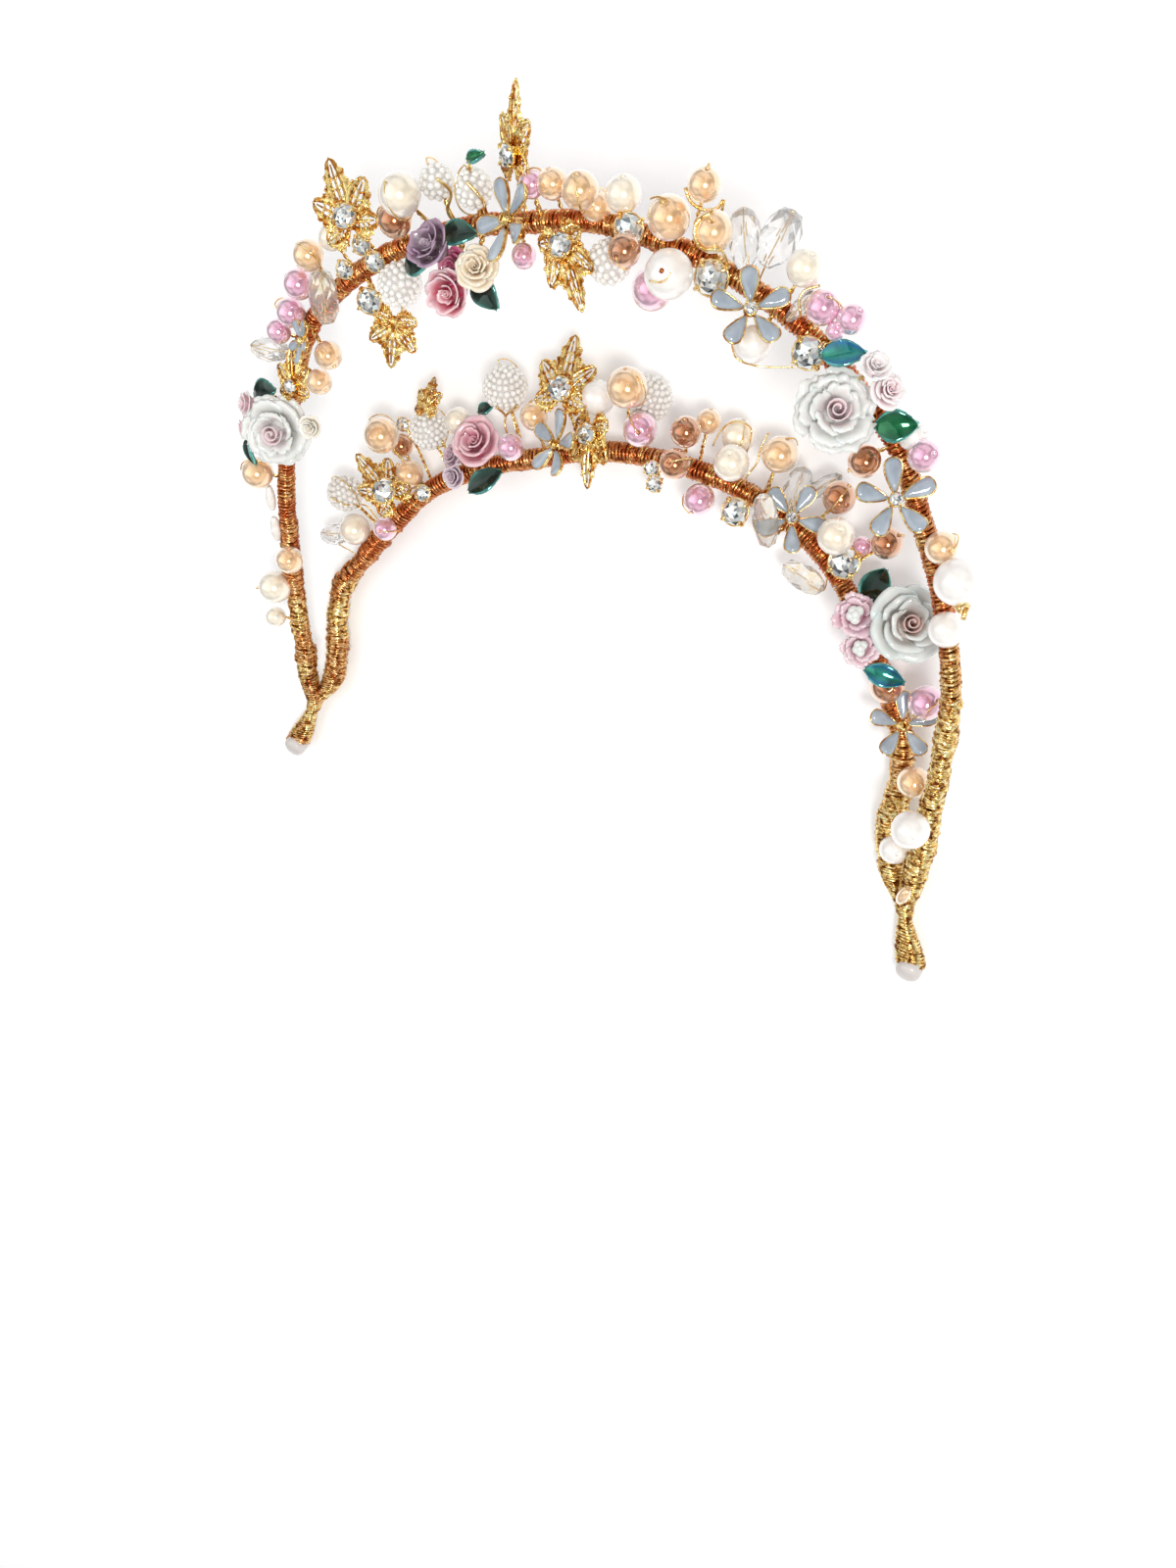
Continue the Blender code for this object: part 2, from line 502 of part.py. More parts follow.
def rose_head(centre, radius, facing):
    """Open rose: a cupped body with two scalloped rings of petals around a bud."""
    matrix = facing_matrix(centre, facing, Vector((0.2, 1, 0.1)))
    # (radius, height, scallop, turn of the scallop) from the back to the bud
    rows = [(0.36, -0.6, 0, 0), (1.0, 0.14, 0.06, 0), (0.7, 0.02, 0.02, 0),
            (0.62, 0.34, 0.05, 0.63), (0.34, 0.14, 0, 0), (0.2, 0.46, 0.02, 0)]
    rings = []
    for reach, height, scallop, turn in rows:
        ring = []
        for index in range(10):
            angle = 2 * math.pi * index / 10
            wave = math.cos(5 * (angle + turn))
            out = radius * (reach + scallop * wave)
            rise = radius * (height + 0.6 * scallop * wave)
            ring.append(matrix @ Vector((out * math.cos(angle), out * math.sin(angle), rise)))
        rings.append(ring)
    return ring_solid(rings)


def green_leaf(arch, across, up, lift, length, width, facing, pointing):
    """Cupped pointed leaf of even thickness."""
    matrix = facing_matrix(at(arch, across, up, lift), turned(arch, facing), turned(arch, pointing))
    rows = [(-0.5, 0.12), (-0.25, 0.8), (0.05, 1.0), (0.3, 0.68), (0.5, 0.10)]
    rings = []
    for along, share in rows:
        half = 0.5 * width * share
        bend = -0.6 * (2 * along) ** 2
        top = [(-half, 0.5), (0, -0.05), (half, 0.5)]
        ring = [Vector((x, along * length, z * share + bend)) for x, z in top]
        ring += [Vector((x, along * length, z * share + bend - 1.0)) for x, z in reversed(top)]
        rings.append([matrix @ point for point in ring])
    return ring_solid(rings)


def enamel_flower(arch, across, up, lift, radius, facing, first):
    """Five domed drop-shaped petals in thin rims around a stone in a cup."""
    centre = at(arch, across, up, lift)
    matrix = facing_matrix(centre, turned(arch, facing), turned(arch, (0, 1, 0)))
    solids = [lathe([(1.2, -0.9), (1.5, 0.7), (0.8, 1.3)], STONE_SIDES, matrix)]
    for petal in range(5):
        angle = math.radians(90 - first + 72 * petal)
        turn = matrix @ Matrix.Rotation(angle, 4, 'Z')
        # (distance from the centre, half width)
        rows = [(0.12, 0.07), (0.5, 0.23), (0.8, 0.27), (1.0, 0.12)]
        rings = []
        for out, half in rows:
            x, y = out * radius, half * radius
            rise = 0.9 * math.sin(math.pi * min(1, out))
            ring = [(y, -0.5), (y, 0.1), (0, 0.6 + 0.5 * rise), (-y, 0.1), (-y, -0.5)]
            rings.append([turn @ Vector((x, across_petal, height)) for across_petal, height in ring])
        solids.append(ring_solid(rings))
    return solids


def tree_of(obj, grow=0.0):
    bm = bmesh.new()
    bm.from_mesh(obj.data)
    bm.normal_update()
    if grow:
        for vert in bm.verts:
            vert.co += vert.normal * grow * 1.1
    bmesh.ops.triangulate(bm, faces=bm.faces)
    tree = BVHTree.FromBMesh(bm)
    corners = [vert.co.copy() for vert in bm.verts]
    polygons = [[vert.index for vert in face.verts] for face in bm.faces]
    bm.free()
    return tree, corners, polygons


def within(tree, point):
    """True if a ray from the point leaves the closed surface an odd number of times."""
    direction = Vector((0.31, 0.57, 0.76)).normalized()
    crossings = 0
    place = tree.ray_cast(point, direction)[0]
    while place is not None:
        crossings += 1
        place = tree.ray_cast(place + direction * 0.001, direction)[0]
    return crossings % 2 == 1


def pile(obj, placed):
    """Move a piece towards the viewer until it keeps its gap to every piece placed before it."""
    tree, corners, polygons = tree_of(obj, GAP)
    direction = to_viewer(sum(corners, Vector()) / len(corners))
    lift = 0.0
    names = []
    while lift < MAX_LIFT:
        shift = direction * lift
        moved = BVHTree.FromPolygons([corner + shift for corner in corners], polygons)
        clashes = [name for name, other, corner in placed
                   if moved.overlap(other) or within(other, corners[0] + shift) or within(moved, corner)]
        if not clashes:
            break
        names = clashes
        lift += LIFT_STEP
    for vert in obj.data.vertices:
        vert.co += direction * lift
    remember(obj, placed)
    print("placed", obj.name, "raised by", round(lift, 2), "over", names)


def remember(obj, placed):
    tree, corners, polygons = tree_of(obj)
    placed.append((obj.name, tree, corners[0]))


def build():
    for obj in list(bpy.data.objects):
        bpy.data.objects.remove(obj)
    pieces = []
    placed = []

    def keep(obj, name, roughness, metallic):
        colour(obj, name, roughness, metallic)
        pieces.append(obj)

    keep(strung_band("lower", 30), "copper", 0.35, 1.0)
    keep(strung_band("upper", 38), "copper", 0.35, 1.0)
    for name, side in (("left", -1), ("right", 1)):
        keep(fuse(name + "_tip", tip_solids(side)), "gold", 0.4, 1.0)
        keep(fuse(name + "_cap", [cap_solid(side)]), "cap", 0.4, 0.0)
    fixed = len(pieces)
    for name, arch, across, up, lift, radius, shade in PEARLS:
        centre = at(arch, across, up, lift)
        axis = (centre - nearest_on_band(arch, centre)).normalized()
        count = BEAD_RINGS if radius > 3.5 else SMALL_BEAD_RINGS
        keep(fuse(name, [bead(centre, radius, axis, 1.0, count)]), shade, 0.25, 0.0)
    for row in GOLD_LEAVES:
        keep(fuse(row[0], gold_leaf(*row)), "gold", 0.25, 1.0)
    for name, *row, shade in GREEN_LEAVES:
        keep(fuse(name, [green_leaf(*row)]), shade, 0.15, 0.0)
    for name, arch, heads in ROSES:
        solids = [rose_head(at(arch, across, up, lift), radius, turned(arch, facing))
                  for across, up, lift, radius, facing in heads]
        backs = [at(arch, across, up, lift) - 0.4 * radius * turned(arch, facing)
                 for across, up, lift, radius, facing in heads]
        solids += [rod(backs[0], back, 0.6) for back in backs[1:]]
        keep(fuse(name, solids), "white", 0.3, 0.0)
    for name, *row in ENAMEL_FLOWERS:
        keep(fuse(name, enamel_flower(*row)), "enamel", 0.1, 0.0)
    name, arch, across, up, lift, length, width, lean = FRONT_CRYSTAL
    lean = math.radians(lean)
    axis = turned(arch, (math.sin(lean), math.cos(lean), 0.1))
    keep(fuse(name, [crystal(at(arch, across, up, lift), length, width, axis)]), "cap", 0.05, 0.0)

    for obj in pieces[:fixed]:
        remember(obj, placed)
    for obj in sorted(pieces[fixed:], key=lambda obj: obj.name in TOP_PIECES):
        pile(obj, placed)

    rest = Matrix.Rotation(REST_LEAN, 4, 'X')
    for obj in pieces:
        obj.data.transform(rest)
    corners = [vert.co for obj in pieces for vert in obj.data.vertices]
    low = Vector([min(corner[axis] for corner in corners) for axis in range(3)])
    high = Vector([max(corner[axis] for corner in corners) for axis in range(3)])
    settle = Matrix.Translation((-(low.x + high.x) / 2, -(low.y + high.y) / 2, -low.z))
    for obj in pieces:
        obj.data.transform(Matrix.Scale(MM, 4) @ settle)
        for polygon in obj.data.polygons:
            polygon.use_smooth = obj.name.startswith(("pearl", "rose"))
        obj.data.update()
    print("moved by", [round(value, 3) for value in settle.translation])
    print("pieces", len(pieces), "size in mm", [round(value, 1) for value in high - low])
    return settle @ rest


build()
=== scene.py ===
# Looks of the pearl headband: two wound arches with pearls, porcelain roses, enamel flowers and gold leaves.
# Places are in millimetres on the lying headband: across, up, and lift out of the plane of an arch.
import math
import random

import bpy
from mathutils import Matrix, Vector, noise


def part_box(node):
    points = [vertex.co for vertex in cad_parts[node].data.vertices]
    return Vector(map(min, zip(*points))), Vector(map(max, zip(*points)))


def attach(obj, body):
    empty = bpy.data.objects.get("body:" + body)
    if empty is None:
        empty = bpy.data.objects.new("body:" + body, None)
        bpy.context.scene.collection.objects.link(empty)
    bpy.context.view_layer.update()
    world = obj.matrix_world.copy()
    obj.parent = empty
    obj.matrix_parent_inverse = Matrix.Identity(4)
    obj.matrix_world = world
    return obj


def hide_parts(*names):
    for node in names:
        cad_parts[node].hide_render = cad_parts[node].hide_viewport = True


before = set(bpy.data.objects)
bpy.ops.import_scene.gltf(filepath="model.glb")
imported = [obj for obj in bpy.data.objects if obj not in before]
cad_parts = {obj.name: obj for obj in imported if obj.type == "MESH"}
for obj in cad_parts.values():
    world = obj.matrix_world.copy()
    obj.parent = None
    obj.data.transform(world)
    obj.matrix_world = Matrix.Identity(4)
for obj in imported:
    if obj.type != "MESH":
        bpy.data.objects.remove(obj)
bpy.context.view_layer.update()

headband = {
    "upperTilt": math.radians(18.6),   # the upper arch leans forward of the lower one
    "lean": math.radians(1.75),        # turn that sets tips and lowest ornaments on the floor
    "capMiddle": (80, -13.45, 0),      # middle of the right cap
    "viewer": (113, 113, 248),         # ornaments were piled up towards this point
    "lower": [
        (-72, 5), (-70.5, 9), (-69.8, 16), (-71, 24), (-70, 32), (-63, 42), (-56, 51), (-47, 60), (-35, 66.5),
        (-23, 71), (-8, 75.5), (5, 76.5), (18, 75.5), (30, 72.5), (41, 67), (49, 60), (56, 51),
        (62, 42.5), (66.5, 35), (68, 27), (68.8, 17), (70.5, 9), (72, 5),
    ],
    "upper": [
        (-76, 5), (-76.4, 9), (-76, 34), (-75, 48), (-73.5, 60), (-69.5, 76), (-66, 86), (-60, 97),
        (-51, 105.5), (-42, 111.5), (-34, 115.5), (-21.5, 120), (-8, 122.5), (3, 124), (14, 123),
        (28, 119.5), (42, 112.5), (52, 104.5), (60, 96), (66, 84), (70, 75), (74, 63), (76.5, 50),
        (77, 34), (76.4, 9), (76, 5),
    ],
    "sizes": {"lower": (2.3, 2.5), "upper": (2.0, 2.2)},  # half width in the plane, half thickness
    "bandEnd": 9.0,                    # height where an arch ends in a tip
}


def middle(node):
    low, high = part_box(node)
    return (Vector(low) + Vector(high)) / 2


turnDown = Matrix.Rotation(headband["lean"], 4, 'X')
settle = Matrix.Translation(middle("right_cap") * 1000 - turnDown @ Vector(headband["capMiddle"]))
toWorld = Matrix.Scale(0.001, 4) @ settle @ turnDown
toLying = toWorld.inverted()


def at(arch, across, up, lift):
    tilt = headband["upperTilt"] if arch == "upper" else 0.0
    y = up * math.cos(tilt) - lift * math.sin(tilt)
    return Vector((across, y, up * math.sin(tilt) + lift * math.cos(tilt)))


def turned(arch, direction):
    return at(arch, *direction).normalized()


def toViewer(point):
    return (Vector(headband["viewer"]) - point).normalized()


def facing(centre, look, point):
    # local Z along look, local Y as near to point as it can be
    z = look.normalized()
    x = point.cross(z).normalized()
    return Matrix.Translation(centre) @ Matrix((x, z.cross(x), z)).transposed().to_4x4()


def smoothLine(points, count):
    # evenly spaced points on a smooth curve through the given ones
    dense = []
    last = len(points) - 1
    for index in range(last):
        before, start = Vector(points[max(index - 1, 0)]), Vector(points[index])
        end, after = Vector(points[index + 1]), Vector(points[min(index + 2, last)])
        for step in range(16):
            t = step / 16
            linear = 2 * start + (end - before) * t
            square = (2 * before - 5 * start + 4 * end - after) * t ** 2
            dense.append(0.5 * (linear + square + (3 * start - before - 3 * end + after) * t ** 3))
    dense.append(Vector(points[-1]))
    reach = [0.0]
    for first, second in zip(dense, dense[1:]):
        reach.append(reach[-1] + (second - first).length)
    line = []
    index = 0
    for step in range(count):
        target = reach[-1] * step / (count - 1)
        while index < len(dense) - 2 and reach[index + 1] < target:
            index += 1
        share = (target - reach[index]) / max(reach[index + 1] - reach[index], 1e-9)
        line.append(dense[index].lerp(dense[index + 1], share))
    return line


print("frame read")


# node trees: a value can be used in sums, everything else comes from Graph.node
def operator(operation, swapped=False):
    def apply(value, other):
        first, second = (other, value) if swapped else (value, other)
        return value.graph.sum(operation, first, second)

    return apply


class Value:
    def __init__(self, graph, socket):
        self.graph = graph
        self.socket = socket

    __add__ = __radd__ = operator('ADD')
    __sub__, __rsub__ = operator('SUBTRACT'), operator('SUBTRACT', True)
    __mul__ = __rmul__ = operator('MULTIPLY')
    __truediv__ = operator('DIVIDE')


class Graph:
    def __init__(self, tree):
        self.tree = tree

    def node(self, kind, settings=None, values=None, out=0):
        made = self.tree.nodes.new(kind)
        for key, value in (settings or {}).items():
            if key == "stops":
                ramp = made.color_ramp.elements
                while len(ramp) < len(value):
                    ramp.new(0.5)
                for stop, (place, colour) in zip(ramp, value):
                    stop.position = place
                    stop.color = (*colour, 1)
            else:
                setattr(made, key, value)
        for key, value in (values or {}).items():
            if isinstance(value, Value):
                self.tree.links.new(value.socket, made.inputs[key])
            else:
                made.inputs[key].default_value = value
        return Value(self, made.outputs[out]) if made.outputs else made

    def sum(self, operation, first, second):
        return self.node('ShaderNodeMath', {"operation": operation}, {0: first, 1: second})

    def wave(self, operation, angle):
        return self.node('ShaderNodeMath', {"operation": operation}, {0: angle})

    def vector(self, operation, first, second):
        return self.node('ShaderNodeVectorMath', {"operation": operation}, {0: first, 1: second})

    def scaled(self, first, amount):
        return self.node('ShaderNodeVectorMath', {"operation": 'SCALE'}, {0: first, "Scale": amount})

    def mix(self, factor, first, second):
        return self.node('ShaderNodeMix', {"data_type": 'RGBA'}, {0: factor, 6: first, 7: second}, out=2)

    def noise(self, scale, detail=2.0, roughness=0.5, warp=0.0):
        return self.node('ShaderNodeTexNoise', values={
            "Vector": self.node('ShaderNodeTexCoord', out="Object"), "Scale": scale, "Detail": detail,
            "Roughness": roughness, "Distortion": warp})

    def ramp(self, value, stops):
        return self.node('ShaderNodeValToRGB', {"stops": stops}, {0: value})

    def range(self, value, low, high, start=0.0, end=1.0):
        return self.node('ShaderNodeMapRange', values={0: value, 1: low, 2: high, 3: start, 4: end})

    def carried(self, attribute, out):
        return self.node('ShaderNodeAttribute', {"attribute_name": attribute}, out=out)

    def surface(self, colour, cloud, roughness, grain=None, strength=0.0, distance=0.0002):
        # sockets of a finish: its colour, a roughness that follows the cloud, and grain as bumps
        made = {"Base Color": colour, "Roughness": self.range(cloud, 0.3, 0.7, *roughness)}
        if grain:
            values = {"Height": grain, "Strength": strength, "Distance": distance}
            made["Normal"] = self.node('ShaderNodeBump', values=values)
        return made


def finish(name, build, **sockets):
    # a Principled material: fixed values are set on its sockets, build links what changes over the surface
    material = bpy.data.materials.new(name)
    material.use_nodes = True
    shader = material.node_tree.nodes["Principled BSDF"]
    for key, value in sockets.items():
        shader.inputs[key].default_value = value
    graph = Graph(material.node_tree)
    for key, value in build(graph).items():
        graph.tree.links.new(value.socket, shader.inputs[key])
    return material


pearlShades = {
    # deep colour in the middle, pale colour painted towards the rim as sheen, share of metal, roughness
    "ivory": ((0.97, 0.87, 0.69), (0.99, 0.96, 0.91), 0.3, 0.22),
    "white": ((0.93, 0.90, 0.86), (0.99, 0.98, 0.98), 0.15, 0.28),
    "peach": ((0.98, 0.62, 0.32), (1.0, 0.90, 0.77), 0.5, 0.15),
    "bronze": ((0.50, 0.17, 0.05), (0.92, 0.70, 0.55), 0.8, 0.12),
    "pink": ((0.88, 0.46, 0.64), (0.99, 0.87, 0.93), 0.6, 0.14),
}


def pearlFinish(shade):
    deep, pale, metal, smooth = pearlShades[shade]

    def build(graph):
        cloud = graph.noise(260, 3, 0.5, 0.6)
        # painted sheen: from the deep colour in the middle to the pale one towards the rim, by the angle to
        # the viewer
        paintedRimSheen = graph.node('ShaderNodeLayerWeight', values={"Blend": 0.35}, out="Facing")
        colour = graph.mix(graph.range(paintedRimSheen + cloud * 0.2, 0.1, 0.7), (*deep, 1), (*pale, 1))
        return graph.surface(colour, cloud, (smooth, smooth + 0.06), graph.noise(2600, 2), 0.05, 0.0001)

    return finish("pearl_" + shade, build, **{
        "Metallic": metal, "IOR": 1.6, "Coat Weight": 1.0, "Coat Roughness": 0.06, "Sheen Weight": 0.35,
        "Sheen Roughness": 0.3})


def woundFinish():
    # copper over the crown, brighter gold thread down the legs
    def build(graph):
        place = graph.node('ShaderNodeTexCoord', out="Object")
        along = graph.node('ShaderNodeSeparateXYZ', values={0: place}, out=1)
        across = graph.node('ShaderNodeSeparateXYZ', values={0: place}, out=0)
        patch = graph.noise(130, 3, 0.6)
        fine = graph.noise(900, 3, 0.65)
        later = graph.range(across, 0.070, 0.074, 0.024, 0.0)
        leg = graph.range(along + later + (patch - 0.5) * 0.05, -0.014, 0.004, 1.0, 0.0)
        leftSide = graph.range(across, -0.02, 0.02, 1.0, 0.0) * graph.range(patch, 0.42, 0.58, 0.0, 0.8)
        # random tone of the copper; its darkest stop stands partly for painted shade between the wires and
        # its brightest for painted glints
        crown = graph.ramp(fine, [
            (0.25, (0.20, 0.03, 0.006)), (0.55, (0.60, 0.15, 0.04)), (0.85, (1.0, 0.62, 0.27))])
        # random tone of the gold thread; its dark stop stands partly for painted shade in the gaps between
        # the wires and its bright stop for painted highlights
        gold = graph.ramp(fine, [
            (0.4, (0.22, 0.06, 0.01)), (0.5, (0.90, 0.58, 0.17)), (0.6, (1.0, 0.90, 0.52))])
        worn = graph.range(patch, 0.45, 0.7, 0.0, 0.6)
        colour = graph.mix(leg * (1 - leftSide), graph.mix(worn, crown, gold), gold)
        return graph.surface(colour, fine, (0.14, 0.3), fine, 0.25)

    return finish("wound_wire", build, Metallic=0.9)


def goldFinish(name, deep, bright, roughness):
    def build(graph):
        fine = graph.noise(3500, 2)
        # random patches of deep and bright gold; the deep patches stand partly for painted shade and the
        # bright ones for painted highlights
        colour = graph.ramp(graph.noise(700, 3, 0.6), [(0.4, deep), (0.55, bright)])
        return graph.surface(colour, fine, (roughness * 0.7, roughness * 1.4), fine, 0.25, 0.0001)

    return finish(name, build, Metallic=1.0)


def glazeFinish():
    # porcelain glaze over the colour that each petal carries
    def build(graph):
        cloud = graph.noise(420, 3, 0.55)
        pale = graph.range(cloud, 0.35, 0.75, 0.0, 0.35)
        colour = graph.mix(pale, graph.carried("glaze", "Color"), (0.93, 0.93, 0.92, 1))
        return graph.surface(colour, cloud, (0.12, 0.3), graph.noise(1500, 3, 0.6), 0.15)

    return finish("porcelain", build, **{
        "IOR": 1.5, "Coat Weight": 1.0, "Coat Roughness": 0.05, "Subsurface Weight": 0.12,
        "Subsurface Scale": 0.001})


def lacquerFinish():
    def build(graph):
        cloud = graph.noise(300, 3, 0.6)
        dark = graph.range(cloud, 0.4, 0.7, 0.0, 0.6)
        colour = graph.mix(dark, graph.carried("glaze", "Color"), (0.005, 0.02, 0.015, 1))
        return graph.surface(colour, cloud, (0.04, 0.12), graph.noise(900, 2), 0.2)

    return finish("lacquer", build, **{"Metallic": 0.6, "Coat Weight": 0.8, "Coat Roughness": 0.03})


def enamelFinish():
    def build(graph):
        cloud = graph.noise(350, 2)
        colour = graph.ramp(cloud, [
            (0.3, (0.29, 0.34, 0.40)), (0.55, (0.37, 0.43, 0.50)), (0.8, (0.50, 0.55, 0.61))])
        return graph.surface(colour, cloud, (0.08, 0.18), graph.noise(1200, 2), 0.05)

    return finish("enamel", build, **{"Coat Weight": 1.0, "Coat Roughness": 0.03})


def stoneFinish():
    # foil-backed cut stone: every facet carries its own painted brightness, bright facets as painted
    # reflections and dark ones as painted shade from the cup
    def build(graph):
        colour = graph.ramp(graph.carried("facet", "Fac"), [
            (0.0, (0.03, 0.035, 0.04)), (0.25, (0.22, 0.27, 0.30)), (0.5, (0.55, 0.62, 0.64)),
            (0.7, (0.90, 0.92, 0.92)), (0.92, (0.98, 0.90, 0.78)), (1.0, (0.80, 0.92, 0.98))])
        return graph.surface(colour, graph.noise(2500, 2), (0.02, 0.07))

    return finish("cut_stone", build, **{
        "Metallic": 0.8, "Coat Weight": 1.0, "Coat Roughness": 0.01, "IOR": 1.8})


def glassFinish(name, tint):
    def build(graph):
        # painted sparkle: each facet's painted light mixes the tint towards white
        bright = graph.range(graph.carried("facet", "Fac"), 0.1, 0.8)
        colour = graph.mix(bright, (*tint, 1), (1, 1, 1, 1))
        return graph.surface(colour, graph.noise(600, 2), (0.0, 0.05))

    return finish(name, build, **{"Transmission Weight": 0.8, "IOR": 1.5, "Coat Weight": 0.7})


def seedFinish():
    def build(graph):
        cloud = graph.noise(700, 2)
        colour = graph.ramp(cloud, [(0.3, (0.82, 0.79, 0.73)), (0.6, (0.95, 0.94, 0.91))])
        return graph.surface(colour, cloud, (0.1, 0.3))

    return finish("seed_bead", build, **{
        "Coat Weight": 1.0, "Coat Roughness": 0.05, "Subsurface Weight": 0.45, "Subsurface Scale": 0.0008,
        "Subsurface Radius": (1.0, 0.9, 0.8)})


def capFinish():
    def build(graph):
        cloud = graph.noise(300, 2)
        grey = graph.range(cloud, 0.4, 0.7, 0.0, 0.4)
        colour = graph.mix(grey, (0.66, 0.62, 0.60, 1), (0.52, 0.48, 0.47, 1))
        return graph.surface(colour, cloud, (0.25, 0.4))

    return finish("cap", build, **{"Coat Weight": 0.4})


finishes = {"pearl_" + shade: pearlFinish(shade) for shade in pearlShades}
finishes.update({
    "wound": woundFinish(),
    "gold": goldFinish("gold", (0.56, 0.22, 0.03), (1.0, 0.79, 0.34), 0.17),
    "brightGold": goldFinish("bright_gold", (0.78, 0.44, 0.12), (1.0, 0.80, 0.40), 0.13),
    "glaze": glazeFinish(),
    "lacquer": lacquerFinish(),
    "enamel": enamelFinish(),
    "stone": stoneFinish(),
    "clear": glassFinish("clear_crystal", (0.90, 0.92, 0.94)),
    "champagne": glassFinish("champagne_crystal", (0.96, 0.88, 0.68)),
    "seed": seedFinish(),
    "cap": capFinish(),
})
print("finishes made")


# shapes
class Shape:
    # points and faces of one piece, gathered in lying millimetres before its mesh is made
    def __init__(self):
        self.points = []
        self.faces = []
        self.glaze = []
        self.paintedFacetLights = []

    def add(self, points, faces, glaze=None, paintedFacetLights=None):
        start = len(self.points)
        self.points += points
        self.faces += [tuple(start + index for index in face) for face in faces]
        self.glaze += glaze or [(1, 1, 1)] * len(points)
        self.paintedFacetLights += paintedFacetLights or [0.5] * len(faces)

    def move(self, shift):
        self.points = [point + shift for point in self.points]

    def mesh(self):
        mesh = bpy.data.meshes.new("shape")
        mesh.from_pydata(self.points, [], self.faces)
        colours = mesh.attributes.new("glaze", 'FLOAT_COLOR', 'POINT')
        colours.data.foreach_set("color", [part for colour in self.glaze for part in (*colour, 1)])
        # painted light of each face: bright facets as painted reflections, dark ones as painted shade, read
        # by the stone and crystal finishes
        paintedFacetLights = mesh.attributes.new("facet", 'FLOAT', 'FACE')
        paintedFacetLights.data.foreach_set("value", self.paintedFacetLights)
        mesh.update()
        return mesh


def rings(shape, rows, glaze=None, paintedFacetLights=None, spin=False):
    # closed solid through rings of points with the same count; spin shifts every second ring by half a step
    count = len(rows[0])
    faces = []
    for row in range(len(rows) - 1):
        for index in range(count):
            a, b = row * count + index, row * count + (index + 1) % count
            c, d = b + count, a + count
            if not spin:
                faces.append((a, b, c, d))
            elif row % 2 == 0:
                faces += [(a, b, d), (b, c, d)]
            else:
                faces += [(a, b, c), (a, c, d)]
    faces.append(tuple(reversed(range(count))))
    faces.append(tuple(range((len(rows) - 1) * count, len(rows) * count)))
    colours = [glaze[row] for row in range(len(rows)) for index in range(count)] if glaze else None
    shape.add([point for row in rows for point in row], faces, colours,
              [paintedFacetLights() for face in faces] if paintedFacetLights else None)


def circle(sides, offset=0.0):
    # cosine and sine of evenly spaced angles
    angles = [2 * math.pi * (index + offset) / sides for index in range(sides)]
    return [(math.cos(angle), math.sin(angle)) for angle in angles]


def lathe(shape, profile, sides, matrix, glaze=None, paintedFacetLights=None, spin=False):
    rows = []
    for row, (radius, height) in enumerate(profile):
        ring = circle(sides, 0.5 if spin and row % 2 else 0.0)
        rows.append([matrix @ Vector((radius * across, radius * up, height)) for across, up in ring])
    rings(shape, rows, glaze, paintedFacetLights, spin)


def ballProfile(radius, steps):
    angles = [math.pi * (step + 0.5) / steps for step in range(steps)]
    return [(radius * math.sin(angle), -radius * math.cos(angle)) for angle in angles]


def resized(profile, across, up):
    return [(reach * across, height * up) for reach, height in profile]


def sheet(shape, rows, thickness, glaze):
    # closed sheet of even thickness under rows of points, thinner at its rim
    count, width = len(rows), len(rows[0])
    points = [point for row in rows for point in row]
    under = []
    for row in range(count):
        for column in range(width):
            up = rows[min(row + 1, count - 1)][column] - rows[max(row - 1, 0)][column]
            side = rows[row][min(column + 1, width - 1)] - rows[row][max(column - 1, 0)]
            normal = side.cross(up).normalized()
            rim = row == count - 1 or column in (0, width - 1)
            under.append(rows[row][column] - normal * thickness * (0.55 if rim else 1.0))
    total = count * width
    faces = []
    for row in range(count - 1):
        for column in range(width - 1):
            a = row * width + column
            b, c, d = a + 1, a + width + 1, a + width
            faces.append((a, b, c, d))
            faces.append((total + d, total + c, total + b, total + a))
    border = list(range(width))
    border += [row * width + width - 1 for row in range(1, count)]
    border += [(count - 1) * width + column for column in range(width - 2, -1, -1)]
    border += [row * width for row in range(count - 2, 0, -1)]
    for first, second in zip(border, border[1:] + border[:1]):
        faces.append((second, first, total + first, total + second))
    shape.add(points + under, faces, glaze + glaze)


def grid(shape, count, width, thickness, spot):
    # sheet from a function that gives a point and a colour for a column, its share across and the share up
    rows, glaze = [], []
    for row in range(count):
        line = [spot(column, column / (width - 1), row / (count - 1)) for column in range(width)]
        rows.append([point for point, colour in line])
        glaze += [colour for point, colour in line]
    sheet(shape, rows, thickness, glaze)


def tube(shape, points, radius, sides=6, sideways=None):
    # round tube along a line; radius is one value or one for each point
    radii = radius if isinstance(radius, list) else [radius] * len(points)
    rows = []
    side = sideways or Vector((0.31, 0.12, 0.94))
    for index, point in enumerate(points):
        along = (points[min(index + 1, len(points) - 1)] - points[max(index - 1, 0)]).normalized()
        first = along.cross(side).normalized()
        second = first.cross(along)
        side = second if sideways is None else sideways
        rows.append([point + (first * across + second * up) * radii[index] for across, up in circle(sides)])
    rings(shape, rows)


def put(name, made, material, nodes, smooth=True):
    # the finished piece: placed in the frame, riding on the headband and standing for its CAD nodes
    mesh = made.mesh() if isinstance(made, Shape) else made
    mesh.name = name
    mesh.transform(toWorld)
    mesh.materials.clear()
    mesh.materials.append(finishes[material])
    mesh.polygons.foreach_set("use_smooth", [smooth] * len(mesh.polygons))
    mesh.update()
    piece = bpy.data.objects.new(name, mesh)
    bpy.context.scene.collection.objects.link(piece)
    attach(piece, "root")
    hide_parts(*nodes)


